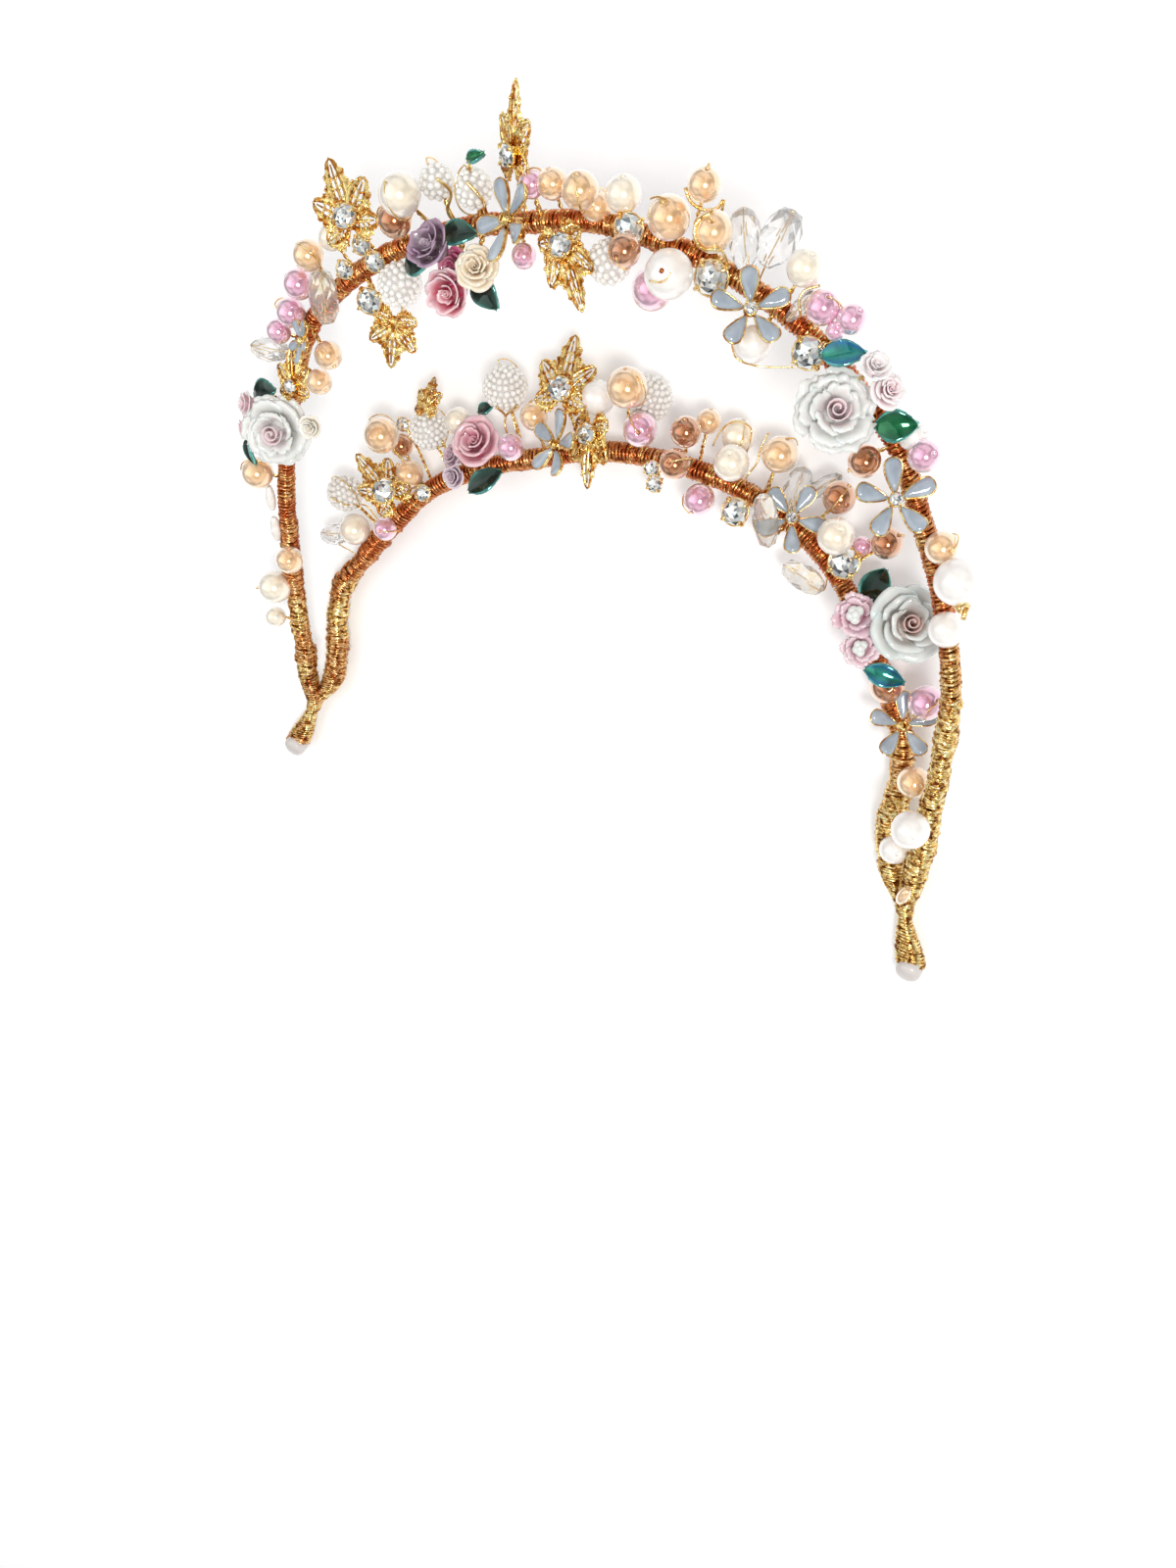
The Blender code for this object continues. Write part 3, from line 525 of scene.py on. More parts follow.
def raised(node, shape, anchor):
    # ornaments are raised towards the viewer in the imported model: how far is read from the node's box
    world = [toWorld @ point for point in shape.points]
    low = Vector([min(point[axis] for point in world) for axis in range(3)])
    high = Vector([max(point[axis] for point in world) for axis in range(3)])
    direction = toViewer(anchor)
    gap = (middle(node) - (low + high) / 2) * 1000
    shift = direction * gap.dot(turnDown.to_3x3() @ direction)
    shape.move(shift)
    return shift


# geometry node trees
class Growth(Graph):
    def __init__(self, name, inputs):
        tree = bpy.data.node_groups.new(name, 'GeometryNodeTree')
        for label, kind in {"Geometry": 'Geometry', **inputs, "Material": 'Material'}.items():
            tree.interface.new_socket(label, in_out='INPUT', socket_type='NodeSocket' + kind)
        tree.interface.new_socket("Geometry", in_out='OUTPUT', socket_type='NodeSocketGeometry')
        super().__init__(tree)

    def given(self, label):
        return self.node('NodeGroupInput', out=label)

    def geo(self, kind, values=None, settings=None, out=0):
        return self.node('GeometryNode' + kind, settings, values, out)

    def circle(self, sides, radius):
        return self.geo('CurvePrimitiveCircle', {"Resolution": sides, "Radius": radius})

    def solid(self, curve, profile):
        return self.geo('CurveToMesh', {"Curve": curve, "Profile Curve": profile, "Fill Caps": True})

    def scatter(self, points, instance, low, high):
        # instances of random size
        values = {2: low, 3: high, "Seed": self.given("Seed")}
        size = self.node('FunctionNodeRandomValue', values=values, out=1)
        return self.geo('InstanceOnPoints', {"Points": points, "Instance": instance, "Scale": size})

    def both(self, pieces):
        join = self.geo('JoinGeometry')
        for piece in pieces:
            self.tree.links.new(piece.socket, join.socket.node.inputs[0])
        return join

    def close(self, geometry):
        real = self.geo('RealizeInstances', {"Geometry": geometry})
        smooth = self.geo('SetShadeSmooth', {"Geometry": real})
        last = self.geo('SetMaterial', {"Geometry": smooth, "Material": self.given("Material")})
        self.node('NodeGroupOutput', values={"Geometry": last})
        return self.tree


def grow(tree, mesh, **values):
    # the tree's result on a mesh as a plain mesh
    holder = bpy.data.objects.new("holder", mesh)
    bpy.context.scene.collection.objects.link(holder)
    modifier = holder.modifiers.new("tree", 'NODES')
    modifier.node_group = tree
    sockets = {item.name: item.identifier for item in tree.interface.items_tree if item.in_out == 'INPUT'}
    for key, value in values.items():
        modifier[sockets[key]] = value
    evaluated = holder.evaluated_get(bpy.context.evaluated_depsgraph_get())
    made = bpy.data.meshes.new_from_object(evaluated)
    bpy.data.objects.remove(holder)
    return made


def windingTree():
    # winds a wire round a core line that carries its own axes and half sizes
    graph = Growth("winding", {"Turns": 'Float', "Steps": 'Int', "Wire": 'Float', "Sides": 'Int',
                               "Waver": 'Float', "Seed": 'Float'})
    given = graph.given
    curve = graph.geo('MeshToCurve', {"Mesh": given("Geometry")})
    fine = graph.geo('ResampleCurve', {"Curve": curve, "Count": given("Steps")})
    share = graph.geo('SplineParameter', out="Factor")

    def drift(seed, scale, detail):
        values = {"Vector": graph.geo('InputPosition'), "W": seed, "Scale": scale, "Detail": detail}
        return graph.node('ShaderNodeTexNoise', {"noise_dimensions": '4D'}, values) - 0.5

    def named(name, kind='FLOAT'):
        return graph.geo('InputNamedAttribute', {"Name": name}, {"data_type": kind})

    angle = share * given("Turns") * (2 * math.pi) + drift(given("Seed") + 7.0, 0.35, 1.0) * 6.0
    grown = drift(given("Seed"), 0.9, 2.0) * given("Waver") + given("Wire")
    outward = graph.scaled(named("outAxis", 'FLOAT_VECTOR'),
                           graph.wave('COSINE', angle) * (named("halfWidth") + grown))
    forward = graph.scaled(named("frontAxis", 'FLOAT_VECTOR'),
                           graph.wave('SINE', angle) * (named("halfDepth") + grown))
    wound = graph.geo('SetPosition', {"Geometry": fine, "Offset": graph.vector('ADD', outward, forward)})
    return graph.close(graph.solid(wound, graph.circle(given("Sides"), given("Wire"))))


def twistTree():
    # two strands twisted about each other along every line
    graph = Growth("twisted_wire", {"Step": 'Float', "Strand": 'Float', "Twist": 'Float'})
    given = graph.given
    curve = graph.geo('MeshToCurve', {"Mesh": given("Geometry")})
    fine = graph.geo('ResampleCurve', {"Curve": curve, "Length": given("Step")}, {"mode": 'LENGTH'})
    angle = graph.geo('SplineParameter', out="Length") * given("Twist")
    normal = graph.geo('InputNormal')
    across = graph.vector('CROSS_PRODUCT', graph.geo('InputTangent'), normal)
    swing = graph.vector('ADD', graph.scaled(normal, graph.wave('COSINE', angle)),
                         graph.scaled(across, graph.wave('SINE', angle)))
    strands = []
    for side in (-1.0, 1.0):
        offset = graph.scaled(swing, given("Strand") * side)
        strand = graph.geo('SetPosition', {"Geometry": fine, "Offset": offset})
        strands.append(graph.solid(strand, graph.circle(5, given("Strand"))))
    return graph.close(graph.both(strands))


def seedTree():
    # a string of seed beads wound over a ball in one spiral
    graph = Growth("seed_beads", {"Count": 'Int', "Ball": 'Float', "Bead": 'Float', "Seed": 'Int'})
    given = graph.given
    points = graph.geo('Points', {"Count": given("Count")})
    count = given("Count") * 1.0
    height = (graph.geo('InputIndex') + 0.5) / count * 2.0 - 1.0
    turn = graph.wave('SQRT', count * math.pi) * graph.wave('ARCSINE', height)
    reach = graph.wave('SQRT', 1.0 - height * height)
    spot = graph.node('ShaderNodeCombineXYZ', values={
        0: graph.wave('COSINE', turn) * reach, 1: graph.wave('SINE', turn) * reach, 2: height})
    placed = graph.geo('SetPosition', {"Geometry": points, "Position": graph.scaled(spot, given("Ball"))})
    bead = graph.geo('MeshUVSphere', {"Segments": 8, "Rings": 5, "Radius": given("Bead")})
    return graph.close(graph.scatter(placed, bead, 0.88, 1.1))


def granuleTree():
    # solder granules along every line, on a wire of the same metal
    graph = Growth("granules", {"Step": 'Float', "Wire": 'Float', "Granule": 'Float', "Seed": 'Int'})
    given = graph.given
    curve = graph.geo('MeshToCurve', {"Mesh": given("Geometry")})
    wire = graph.solid(curve, graph.circle(5, given("Wire")))
    spots = graph.geo('CurveToPoints', {"Curve": curve, "Length": given("Step")}, {"mode": 'LENGTH'})
    grain = graph.geo('MeshIcoSphere', {"Radius": given("Granule"), "Subdivisions": 1})
    return graph.close(graph.both([wire, graph.scatter(spots, grain, 0.6, 1.25)]))


trees = {"winding": windingTree(), "twist": twistTree(), "seed": seedTree(), "granule": granuleTree()}


def lines(routes, extra=None):
    # mesh of loose edges along routes; extra holds one list for each attribute and point
    points, edges = [], []
    for route in routes:
        start = len(points)
        points += route
        edges += [(start + index, start + index + 1) for index in range(len(route) - 1)]
    mesh = bpy.data.meshes.new("lines")
    mesh.from_pydata(points, edges, [])
    for key, values in (extra or {}).items():
        if isinstance(values[0], Vector):
            made = mesh.attributes.new(key, 'FLOAT_VECTOR', 'POINT')
            made.data.foreach_set("vector", [part for value in values for part in value])
        else:
            made = mesh.attributes.new(key, 'FLOAT', 'POINT')
            made.data.foreach_set("value", values)
    return mesh


def joined(meshes):
    # one mesh from several
    points, faces = [], []
    for mesh in meshes:
        start = len(points)
        points += [vert.co.copy() for vert in mesh.vertices]
        faces += [tuple(start + index for index in face.vertices) for face in mesh.polygons]
        bpy.data.meshes.remove(mesh)
    made = bpy.data.meshes.new("joined")
    made.from_pydata(points, [], faces)
    return made


print("trees made")


# wound arches
winding = {
    "close": (0.84, 0.34, 0.6, 1.3),  # pitch, radius of the wire, how far it strays, seed
    "steps": 11,           # points in one turn
    "inset": 0.75,         # the core stays this far inside the modelled band
    "drift": 1.6,          # how far a leg strays to the side
    "legTop": 55,          # height where the legs begin to change
    "threadTop": 50,       # height where their thread ends
    "points": 420,         # points of a core line
}
# loose second layer, and knobbly thread down the legs: as close, and whether it is wound backwards
looseWires = [(2.1, 0.24, 0.9, 2.2, False), (2.1, 0.24, 0.9, 5.7, True)]
legWires = [(1.25, 0.34, 2.2, 8.1, False), (1.25, 0.34, 2.2, 9.4, True), (2.375, 0.34, 2.2, 11.2, True),
            (2.375, 0.34, 2.2, 12.7, True)]
coreParts = ("points", "outAxis", "frontAxis", "halfWidth", "halfDepth")


def columns(rows):
    return {key: list(values) for key, values in zip(coreParts, zip(*rows))}


def coreLine(arch, count):
    line = [point for point in smoothLine(headband[arch], 900) if point.y >= headband["bandEnd"]]
    line = [line[round(index * (len(line) - 1) / (count - 1))] for index in range(count)]
    halfWidth, halfDepth = headband["sizes"][arch]
    rows = []
    for index, point in enumerate(line):
        along = line[min(index + 1, count - 1)] - line[max(index - 1, 0)]
        out = Vector((-along.y, along.x)).normalized()
        leg = max(0.0, 1 - point.y / winding["legTop"])
        lump = 1 + (0.12 + 0.34 * leg) * noise.noise(Vector((point.x * 0.17, point.y * 0.17, 3.1)))
        drift = winding["drift"] * leg * noise.noise(Vector((point.x * 0.12, point.y * 0.12, 8.4)))
        drift *= min(1, (point.y - headband["bandEnd"]) / 8)
        rows.append((at(arch, point.x + drift, point.y, 0), turned(arch, (out.x, out.y, 0)),
                     turned(arch, (0, 0, 1)), halfWidth * (1 + 0.3 * leg) * lump - winding["inset"],
                     halfDepth * (1 + 0.15 * leg) * lump - winding["inset"]))
    return columns(rows)


def coreTube(shape, core):
    rings(shape, [[point + out * (width * across) + front * (depth * up) for across, up in circle(12)]
                  for point, out, front, width, depth in zip(*core.values())])


def wind(core, pitch, wire, waver, seed, reverse=False):
    points = core["points"]
    length = sum((second - first).length for first, second in zip(points, points[1:]))
    turns = length / pitch
    extra = {key: core[key] for key in core if key != "points"}
    return grow(trees["winding"], lines([points], extra), Turns=-turns if reverse else turns,
                Steps=int(turns * winding["steps"]), Wire=wire, Sides=4, Waver=waver, Seed=seed,
                Material=finishes["wound"])


def part(core, keep):
    # the points of a core line that pass the test
    picked = [index for index, point in enumerate(core["points"]) if keep(point)]
    return {key: [values[index] for index in picked] for key, values in core.items()}


cores = {arch: coreLine(arch, winding["points"]) for arch in ("lower", "upper")}
for arch, core in cores.items():
    node = arch + "_band"
    inner = Shape()
    coreTube(inner, core)
    put(node + "_core", inner, "wound", [node])
    put(node + "_winding", wind(core, *winding["close"]), "wound", [node])
    loose = [wind(core, *wires) for wires in looseWires]
    for side in (-1, 1):
        leg = part(core, lambda point: point.x * side > 0 and point.y < winding["threadTop"])
        loose += [wind(leg, *size, seed + side, reverse) for *size, seed, reverse in legWires]
    put(node + "_thread", joined(loose), "wound", [node])
print("arches wound")


# tips and caps
tip = {
    "flare": [(75.9, 0.8), (76.3, -1.8), (77.4, -5), (78.9, -8.6), (80, -11.5)],
    "flareSizes": ([1.9, 1.5, 2.2, 3.1, 3.4], [1.8, 1.5, 1.9, 2.3, 2.5]),  # half widths, half thicknesses
    "arms": [(75.6, 0.4), (76.3, -2.2)],
    "armStart": {"lower": 2.9, "upper": 2.5},
    "armSizes": ([2.4, 1.9, 1.6], [2.2, 1.8, 1.5]),
    "wires": [(0.62, 0.24, 0.3, 3.0, False), (1.5, 0.24, 0.7, 6.0, True)],
    "inset": 0.45,
    "cap": (80, -12.1, 0.1),
    "capLook": (0, -0.5, 0.87),
    "capProfile": [(1.6, -1.9), (2.3, -1.7), (2.55, -1.2), (2.7, 0.0), (2.7, 1.0), (2.6, 1.6),
                   (2.35, 2.05), (1.9, 2.35), (1.2, 2.5), (0.3, 2.55)],
}


def tipCore(arch, run, widths, depths):
    line = smoothLine([(*point, width, depth) for point, width, depth in zip(run, widths, depths)], 40)
    return columns([(at(arch, across, up, 0), Vector((1, 0, 0)), turned(arch, (0, 0, 1)),
                     width - tip["inset"], depth - tip["inset"]) for across, up, width, depth in line])


for name, side in (("left", -1), ("right", 1)):
    node = name + "_tip"
    inner = Shape()
    wound = []
    runs = [("lower", [(side * across, up) for across, up in tip["flare"]], *tip["flareSizes"])]
    for arch, start in tip["armStart"].items():
        near, end = headband[arch][-2:] if side > 0 else reversed(headband[arch][:2])
        run = [(near[0], headband["bandEnd"] - 0.3), end]
        run += [(side * across, up) for across, up in tip["arms"]]
        runs.append((arch, run, *[[start] + sizes for sizes in tip["armSizes"]]))
    for number, run in enumerate(runs):
        core = tipCore(*run)
        coreTube(inner, core)
        wound += [wind(core, *size, seed + number, reverse) for *size, seed, reverse in tip["wires"]]
    put(node + "_core", inner, "wound", [node])
    put(node + "_winding", joined(wound), "wound", [node])
    button = Shape()
    across, up, lift = tip["cap"]
    spot = facing(Vector((side * across, up, lift)), Vector(tip["capLook"]), Vector((0, 1, 0)))
    lathe(button, tip["capProfile"], 40, spot)
    put(name + "_cap_button", button, "cap", [name + "_cap"])
print("tips made")


# lines of the stems and thin wires, gathered while the ornaments are placed
stems = {"lower": [], "upper": []}
caughtWires = {"lower": [], "upper": []}
stemBow = 0.6


def nearestOnBand(arch, centre):
    return min(cores[arch]["points"], key=lambda point: (point - centre).length)


def stem(arch, head):
    # a line from inside the band to an ornament, a little bowed
    foot = nearestOnBand(arch, head)
    drawn = Vector((noise.noise(head), 0.6, noise.noise(head * 1.7)))
    side = (head - foot).cross(drawn).normalized() * stemBow
    stems[arch].append([foot.lerp(head, t) + side * math.sin(math.pi * t) for t in (0, 0.25, 0.5, 0.75, 1)])


def seat(arch, across, up, lift, look, point):
    # an ornament's own axes: Z along look, Y towards point
    return facing(at(arch, across, up, lift), turned(arch, look), turned(arch, point))


# pearls
pearl = {"sides": 28, "rings": 18, "hole": 0.42, "plug": 0.38, "wire": 0.16, "stemEnd": 0.4}
strungPearls = [
    # arch, across, up, lift, radius, shade
    ("upper", -80.7, 25, 3, 2.4, "ivory"), ("upper", -79.3, 33.5, 3, 3.8, "ivory"),
    ("upper", -73.5, 42, 3, 3.1, "peach"), ("upper", -78.6, 62, 3, 3.5, "peach"),
    ("upper", -57.7, 86.3, 3, 2.6, "peach"), ("upper", -54.5, 92.3, 3, 2.8, "peach"),
    ("upper", -66.4, 95, 3, 2.5, "pink"), ("upper", -62.6, 99.3, 3, 2.9, "pink"),
    ("upper", -59.6, 105.2, 3, 3.0, "pink"), ("upper", -56.3, 111, 3, 3.0, "peach"),
    ("upper", -51, 114.7, 2, 2.5, "ivory"), ("upper", -35.4, 120, 3, 3.1, "bronze"),
    ("upper", -8.7, 117.6, 3, 2.2, "pink"), ("upper", -7.3, 129, 2, 2.3, "pink"),
    ("upper", -3.3, 129.6, 2, 2.6, "peach"), ("upper", 2.4, 129.5, 3, 3.1, "peach"),
    ("upper", 9.8, 129.6, 2, 3.0, "ivory"), ("upper", 24.4, 132.9, 3, 2.7, "peach"),
    ("upper", 42, 123, 3, 2.9, "ivory"), ("upper", 45.5, 117.6, 3, 2.8, "pink"),
    ("upper", 50.4, 116.6, 3, 2.4, "pink"), ("upper", 62.2, 99.4, 1, 2.5, "white"),
    ("upper", 65, 97.3, 3, 2.7, "pink"), ("upper", 70.4, 82.3, 3, 2.8, "peach"),
    ("upper", 73.7, 67.5, 3, 3.1, "white"), ("upper", 12.7, 122.5, 7, 2.7, "bronze"),
    ("upper", 14, 114.4, -1, 3.6, "pink"), ("upper", 3.9, 126.3, 0, 2.6, "peach"),
    ("lower", -66, 46.2, 3, 3.6, "ivory"), ("lower", -57.7, 48.2, 3, 2.7, "pink"),
    ("lower", -56.8, 67, 1, 2.7, "bronze"), ("lower", -52.6, 61.6, 3, 3.2, "peach"),
    ("lower", -41.5, 75.3, 3, 3.0, "ivory"), ("lower", -23.3, 79.8, 3, 3.0, "peach"),
    ("lower", -9.8, 86, 2, 3.6, "white"), ("lower", 21.7, 84.5, 2, 3.4, "ivory"),
    ("lower", 61.9, 44.7, 3, 3.4, "bronze"), ("lower", 71.2, 12.8, 3, 3.0, "white"),
    ("lower", 15, 86, 2, 2.5, "peach"), ("lower", 50.5, 69.4, 2, 2.0, "pink"),
    ("upper", 48.3, 114.6, 4, 1.5, "pink"),
]
holeDirections = {
    # pearls whose drill hole shows from the front
    "pearl_lower_04_pink": (0.35, -0.1, 0.93), "pearl_upper_04_white": (0.1, 0.1, 0.98),
}
beads = {}  # centre and radius by node, or by place on the arch


def addPearl(shape, centre, radius, axis, stretch=1.0):
    # ball with a rounded hole mouth at each pole
    hole = pearl["hole"]
    start = math.asin(hole / radius)
    end = -radius * stretch * math.cos(start)
    profile = [(hole * 0.75, end + 0.45), (hole, end + 0.1)]
    for index in range(pearl["rings"] + 1):
        angle = start * 1.25 + (math.pi - 2.5 * start) * index / pearl["rings"]
        profile.append((radius * math.sin(angle), -radius * stretch * math.cos(angle)))
    profile += [(reach, -height) for reach, height in reversed(profile[:2])]
    side = Vector((1, 0, 0)) if abs(axis.x) < 0.8 else Vector((0, 1, 0))
    lathe(shape, profile, pearl["sides"], facing(centre, axis, side))


def hold(arch, centre, radius):
    # a stem from the band to a bead; gives back its direction
    axis = (centre - nearestOnBand(arch, centre)).normalized()
    stem(arch, centre - axis * (radius - pearl["stemEnd"]))
    return axis


def catch(arch, centre, radius, axis, turn):
    # thin wire out of the far hole, over the bead and back to the band
    across = axis.cross(Vector((math.cos(turn), math.sin(turn), 0.4))).normalized()
    reach = radius + pearl["wire"]
    route = [centre + axis * (radius - 0.6)]
    for step in range(13):
        angle = math.pi * step / 12
        swell = 1 + 0.08 * math.sin(angle * 2 + turn)
        route.append(centre + (axis * math.cos(angle) + across * math.sin(angle)) * reach * swell)
    route.append(nearestOnBand(arch, centre))
    caughtWires[arch].append(route)


bandPearls = {}
for number, (arch, across, up, lift, radius, shade) in enumerate(strungPearls):
    centre = at(arch, across, up, lift)
    axis = hold(arch, centre, radius)
    beads[across, up] = (centre, radius)
    addPearl(bandPearls.setdefault((arch, shade), Shape()), centre, radius, axis)
    if number % 2 and shade != "white":
        catch(arch, centre, radius, axis, number * 1.9)
# a long bead at the foot of the right leg
addPearl(bandPearls["upper", "peach"], at("upper", 75.6, 5.9, 3.0), 1.25, turned("upper", (0.3, 1, 0)), 2.0)
for (arch, shade), shape in bandPearls.items():
    put(arch + "_band_pearls_" + shade, shape, "pearl_" + shade, [arch + "_band"])
for number, node in enumerate(sorted(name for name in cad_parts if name.startswith("pearl_"))):
    _, arch, order, shade = node.split("_")
    low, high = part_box(node)
    centre = toLying @ middle(node)
    radius = (high[0] - low[0]) * 500
    axis = hold(arch, centre, radius)
    beads[node] = (centre, radius)
    shown = Vector(holeDirections[node]).normalized() if node in holeDirections else axis
    ball = Shape()
    addPearl(ball, centre, radius, shown)
    put(node + "_ball", ball, "pearl_" + shade, [node])
    if node in holeDirections:
        plug = Shape()
        tube(plug, [centre + shown * (radius * share) for share in (0.5, 0.8, 0.97)], pearl["plug"], 8)
        put(node + "_drill_hole", plug, "wound", [node])
    if number % 3 != 1 and shade != "white":
        catch(arch, centre, radius, shown, number * 2.3)
print("pearls made")


# balls covered with seed beads
beadedBalls = [
    # arch, across, up, lift, radius
    ("upper", -26.4, 127.2, 2, 3.2), ("upper", -18.9, 127, 2, 3.5), ("upper", -35.5, 108.8, 3, 4.2),
    ("upper", 7.9, 119, 3, 3.8), ("lower", -69.5, 53.8, 3, 4.3), ("lower", -48.7, 72, 3, 4.3),
    ("lower", -31, 84.2, 3, 4.9), ("lower", 0.4, 87.6, -1, 4.8),
]
seedBead = {"radius": 0.64, "packing": 0.78, "loose": (3, 7)}  # loose: balls without a wire over them
riceBeads = [
    # arch, across, up, lift, length, width
    ("upper", -77, 48.5, 2, 6.5, 2.4), ("upper", -77, 56, 2, 6.5, 2.2),
]
for arch in ("upper", "lower"):
    covered = []
    inner, rice = Shape(), Shape()
    for number, (own, across, up, lift, radius) in enumerate(beadedBalls):
        if own != arch:
            continue
        centre = at(arch, across, up, lift)
        axis = hold(arch, centre, radius)
        spot = facing(centre, axis + Vector((0.5, 0.2, 0.4)), Vector((0, 1, 0.1)))
        beads[across, up] = (centre, radius)
        ball = radius - seedBead["radius"]
        count = int(seedBead["packing"] * 4 * ball ** 2 / seedBead["radius"] ** 2)
        seeds = grow(trees["seed"], bpy.data.meshes.new("none"), Count=count, Ball=ball,
                     Bead=seedBead["radius"], Seed=number, Material=finishes["seed"])
        seeds.transform(spot)
        covered.append(seeds)
        # a ball under the beads in the greyer cap finish, as painted shade in the gaps between the beads
        lathe(inner, ballProfile(ball, 12), 20, spot)
        if number not in seedBead["loose"]:
            catch(arch, centre, radius + 0.3, axis, 1.1 + number)
    for own, across, up, lift, length, width in riceBeads:
        if own == arch:
            addPearl(rice, at(arch, across, up, lift), width / 2, turned(arch, (0, 1, 0)), length / width)
    node = arch + "_band"
    put(node + "_seed_beads", joined(covered), "seed", [node])
    if rice.points:
        put(node + "_rice_beads", rice, "seed", [node])
    # the grey cores show as painted shade between the seed beads
    put(node + "_ball_cores_painted_shade", inner, "cap", [node])
print("beaded balls made")


# cut stones in prong cups
setStones = {
    # across, up, lift, radius
    "upper": [
        (-48, 109.6, 3, 1.7), (-40.8, 112, 3, 1.9), (-43.4, 114.6, 3, 1.8), (-43, 104.6, 3, 2.4),
        (11.9, 125, 4, 2.5), (26.9, 119.5, 4, 2.8), (44.3, 110.5, 4, 2.6)],
    "lower": [
        (-57, 71.6, 1, 1.5), (-48, 58.5, 4, 1.8), (5.5, 75, 4, 1.6), (6.7, 72.2, 4, 1.7),
        (24.7, 70.5, 4, 2.7), (48.3, 66, 4, 3.0)],
}
facetDraw = random.Random(11)
# profiles in stone radii: the stone's own, the bowl it sits in, and the middle line of a prong
stoneCut = [(0.12, -0.62), (0.62, -0.28), (0.99, 0.02), (0.98, 0.1), (0.76, 0.3), (0.5, 0.42), (0.24, 0.46),
            (0.05, 0.47)]
bowl = [(0.35, -0.85), (0.72, -0.7), (0.98, -0.25), (1.07, 0.02), (1.0, 0.08), (0.9, -0.1), (0.4, -0.66)]
prong = [(0.95, -0.6), (1.1, -0.1), (1.08, 0.16), (0.86, 0.3), (0.74, 0.33)]
prongWidths = (0.13, 0.15, 0.14, 0.12, 0.07)


def drawPaintedFacetLight():
    # painted light on the facets: most are painted bright as light thrown back, a few painted dark as the
    # shade of the cup seen straight through
    return facetDraw.uniform(0.05, 0.3) if facetDraw.random() < 0.16 else facetDraw.uniform(0.5, 1.0)


def addStone(stone, cup, centre, radius, look):
    # round brilliant in a cup whose four prongs bend over its edge
    spot = facing(centre, look, Vector((0.1, 1, 0.05)))
    lathe(stone, resized(stoneCut, radius, radius), 8, spot, paintedFacetLights=drawPaintedFacetLight, spin=True)
    lathe(cup, resized(bowl, radius, radius), 20, spot)
    for across, up in circle(4, 0.5):
        side = Vector((across, up, 0))
        claw = resized(prong, radius, radius)
        claw = [spot @ (side * reach + Vector((0, 0, height))) for reach, height in claw]
        tube(cup, claw, [width * radius for width in prongWidths])


for arch, rows in setStones.items():
    stones, cups = Shape(), Shape()
    front = turned(arch, (0, 0, 1))
    for across, up, lift, radius in rows:
        centre = at(arch, across, up, lift)
        addStone(stones, cups, centre, radius, front + 0.6 * toViewer(centre))
        stem(arch, centre - front * (0.6 * radius))
    node = arch + "_band"
    put(node + "_stones", stones, "stone", [node], smooth=False)
    put(node + "_cups", cups, "brightGold", [node])
print("stones set")


# long cut crystals
crystals = {
    # across, up, lift, length, width, lean in degrees, glass
    "upper": [
        (-70.5, 90.3, 2, 9.5, 5.0, 85, "clear"), (-53, 104, 4, 10.5, 5.8, 5, "champagne"),
        (31.3, 125.5, 2, 9.5, 5.4, -5, "clear"), (37, 126.4, 2, 9.5, 6.4, 25, "clear"),
        (41.6, 116.8, 2, 7.0, 2.6, 40, "clear")],
    "lower": [
        (-71.3, 43.8, 3, 8.0, 5.0, 75, "clear"), (35.5, 77.1, 2, 9.0, 5.4, 10, "clear"),
        (38.9, 77.7, 0, 11.0, 3.4, 50, "clear"), (41.1, 61.3, 4, 9.0, 5.2, -70, "champagne")],
}
frontCrystal = ("lower", 31.2, 70.2, 4, 10.2, 5.2, -16)
frontPush = 3.4  # it stands this much nearer the viewer than its CAD solid
# radius and height of a crystal in shares of its width and length
crystalCut = [(0.12, -0.5), (0.3, -0.44), (0.46, -0.24), (0.5, 0.0), (0.46, 0.24), (0.32, 0.44), (0.12, 0.5)]


def addCrystal(shape, centre, length, width, axis):
    lathe(shape, resized(crystalCut, width, length), 7, facing(centre, axis, Vector((0.1, 0.05, 1))),
          paintedFacetLights=drawPaintedFacetLight, spin=True)


def crystalAxis(arch, lean):
    angle = math.radians(lean)
    return turned(arch, (math.sin(angle), math.cos(angle), 0.1))


for arch, rows in crystals.items():
    glass = {}
    for across, up, lift, length, width, lean, kind in rows:
        centre = at(arch, across, up, lift)
        axis = crystalAxis(arch, lean)
        addCrystal(glass.setdefault(kind, Shape()), centre, length, width, axis)
        threaded = [centre + axis * length * share for share in (0.52, 0.3, 0, -0.52)]
        caughtWires[arch].append(threaded + [nearestOnBand(arch, centre)])
    for kind, shape in glass.items():
        put(arch + "_band_crystals_" + kind, shape, kind, [arch + "_band"], smooth=False)
arch, across, up, lift, length, width, lean = frontCrystal
centre = at(arch, across, up, lift)
axis = crystalAxis(arch, lean)
single = Shape()
addCrystal(single, centre, length, width, axis)
shift = raised("crystal_front", single, centre)
single.move(toViewer(centre) * frontPush)
put("crystal_front_cut", single, "champagne", ["crystal_front"], smooth=False)
stem(arch, centre + shift - axis * length / 2)
print("crystals cut")


